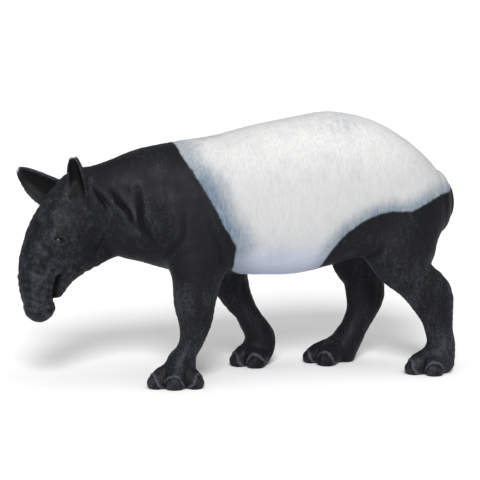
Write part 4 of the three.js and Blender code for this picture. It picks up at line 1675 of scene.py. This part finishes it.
@dataclass(frozen=True)
class BroadLamp:
    """A distant soft lamp: its bearing, height and softness in degrees, and its strength."""

    name: str
    bearing: float
    height: float
    softness: float
    strength: float

    def build(self) -> bpy.types.Object:
        """Builds the lamp.

        Returns:
            The lamp.
        """
        data = bpy.data.lights.new(self.name, "SUN")
        data.angle = math.radians(self.softness)
        data.energy = self.strength
        made = bpy.data.objects.new(self.name, data)
        bpy.context.scene.collection.objects.link(made)
        turn, rise = math.radians(self.bearing), math.radians(self.height)
        source = Vector((math.sin(turn) * math.cos(rise), -math.cos(turn) * math.cos(rise), math.sin(rise)))
        made.location = source
        made.rotation_mode = "QUATERNION"
        made.rotation_quaternion = (-source).to_track_quat("-Z", "Y")
        return made


LAMPS = (
    BroadLamp("key", bearing=-15.0, height=32.0, softness=19.0, strength=3.3),
    BroadLamp("top", bearing=10.0, height=72.0, softness=60.0, strength=0.7),
)


@dataclass(frozen=True)
class Studio:
    """The ground, the lamps and the even white surroundings. The ground's numbers are in metres."""

    ground_half: float = 16.0
    ground_drop: float = 0.00002
    sky: float = 0.42

    def build(self) -> None:
        """Builds the ground and the light."""
        h = self.ground_half
        corners = np.array([(-h, -h, 0), (h, -h, 0), (h, h, 0), (-h, h, 0)], float)
        ground = mesh_object("ground", corners, np.array([(0, 1, 2, 3)]), smooth=False)
        ground.location.z = -self.ground_drop
        paper = GroundPaper("ground_paper", specular=0.2, coat=0.0, coat_roughness=0.3)
        ground.data.materials.append(paper.build())
        world = bpy.data.worlds.new("surroundings")
        bpy.context.scene.world = world
        world.use_nodes = True
        world.node_tree.nodes.clear()
        graph = Graph(world.node_tree)
        light = graph.node("ShaderNodeBackground")
        light.inputs["Color"].default_value = (1, 1, 1, 1)
        light.inputs["Strength"].default_value = self.sky
        graph.feed(graph.node("ShaderNodeOutputWorld").inputs["Surface"], light.outputs[0])
        for lamp in LAMPS:
            lamp.build()


@dataclass(frozen=True)
class PhotoCamera:
    """The photograph's view: its aim and distance in mm, its turn and rise in degrees, and its lens."""

    aim: Point = (1.5, 0.0, 40.1)
    turn: float = 15.0
    rise: float = 8.0
    distance: float = 650.0
    lens: float = 165.75
    sensor: float = 36.0
    clips: Tuple[float, float] = (0.01, 60.0)

    def build(self, shift: np.ndarray) -> bpy.types.Object:
        """Builds the camera and makes it the scene's.

        Args:
            shift: From the figure's frame to the row frame, in mm.

        Returns:
            The camera.
        """
        turn, rise = math.radians(self.turn), math.radians(self.rise)
        back = Vector((-math.sin(turn) * math.cos(rise), -math.cos(turn) * math.cos(rise), math.sin(rise)))
        data = bpy.data.cameras.new("photo_camera")
        data.sensor_width = self.sensor
        data.lens = self.lens
        data.clip_start, data.clip_end = self.clips
        made = bpy.data.objects.new("photo_camera", data)
        bpy.context.scene.collection.objects.link(made)
        made.location = (Vector(np.array(self.aim) + shift) + self.distance * back) * MM
        made.rotation_mode = "QUATERNION"
        made.rotation_quaternion = (-back).to_track_quat("-Z", "Y")
        bpy.context.scene.camera = made
        return made


def figure_shift() -> np.ndarray:
    """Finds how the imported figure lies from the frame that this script's numbers are in.

    Returns:
        The shift in mm.
    """
    low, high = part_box("eye_left")
    x, y, z = EYE_CENTRE
    shift = (np.array(low) + np.array(high)) / 2 / MM - np.array(from_head((x, -y, z)))
    return np.array([shift[0], shift[1], 0.0])


def main() -> None:
    """Builds the figure, its ground, the light and the camera."""
    logging.basicConfig(level=logging.INFO, format="%(name)s: %(message)s")
    scene = bpy.context.scene
    scene.view_settings.view_transform = "Standard"
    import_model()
    shift = figure_shift()
    LOG.info("shift %s mm", np.round(shift, 3).tolist())
    PhotoCamera().build(shift)
    tooth = paint_tooth_group()
    skin = Skin(Form(), Grid(), shift)
    body = skin.build()
    paint = SkinPaint("skin_paint", specular=0.11, coat=0.0, coat_roughness=0.3).build(tooth)
    skin.dress(body, paint)
    LOG.info("%s: %d vertices, %d quads", body.name, len(body.data.vertices), len(body.data.polygons))
    gloss = EyeGloss("eye_gloss_paint", specular=0.35, coat=0.35, coat_roughness=0.04).build()
    for side in Side:
        eye = Eye(side)
        drop = eye.build(shift)
        eye.dress(drop, gloss)
        LOG.info("%s: %d vertices", drop.name, len(drop.data.vertices))
    Studio().build()


if __name__ == "__main__":
    main()
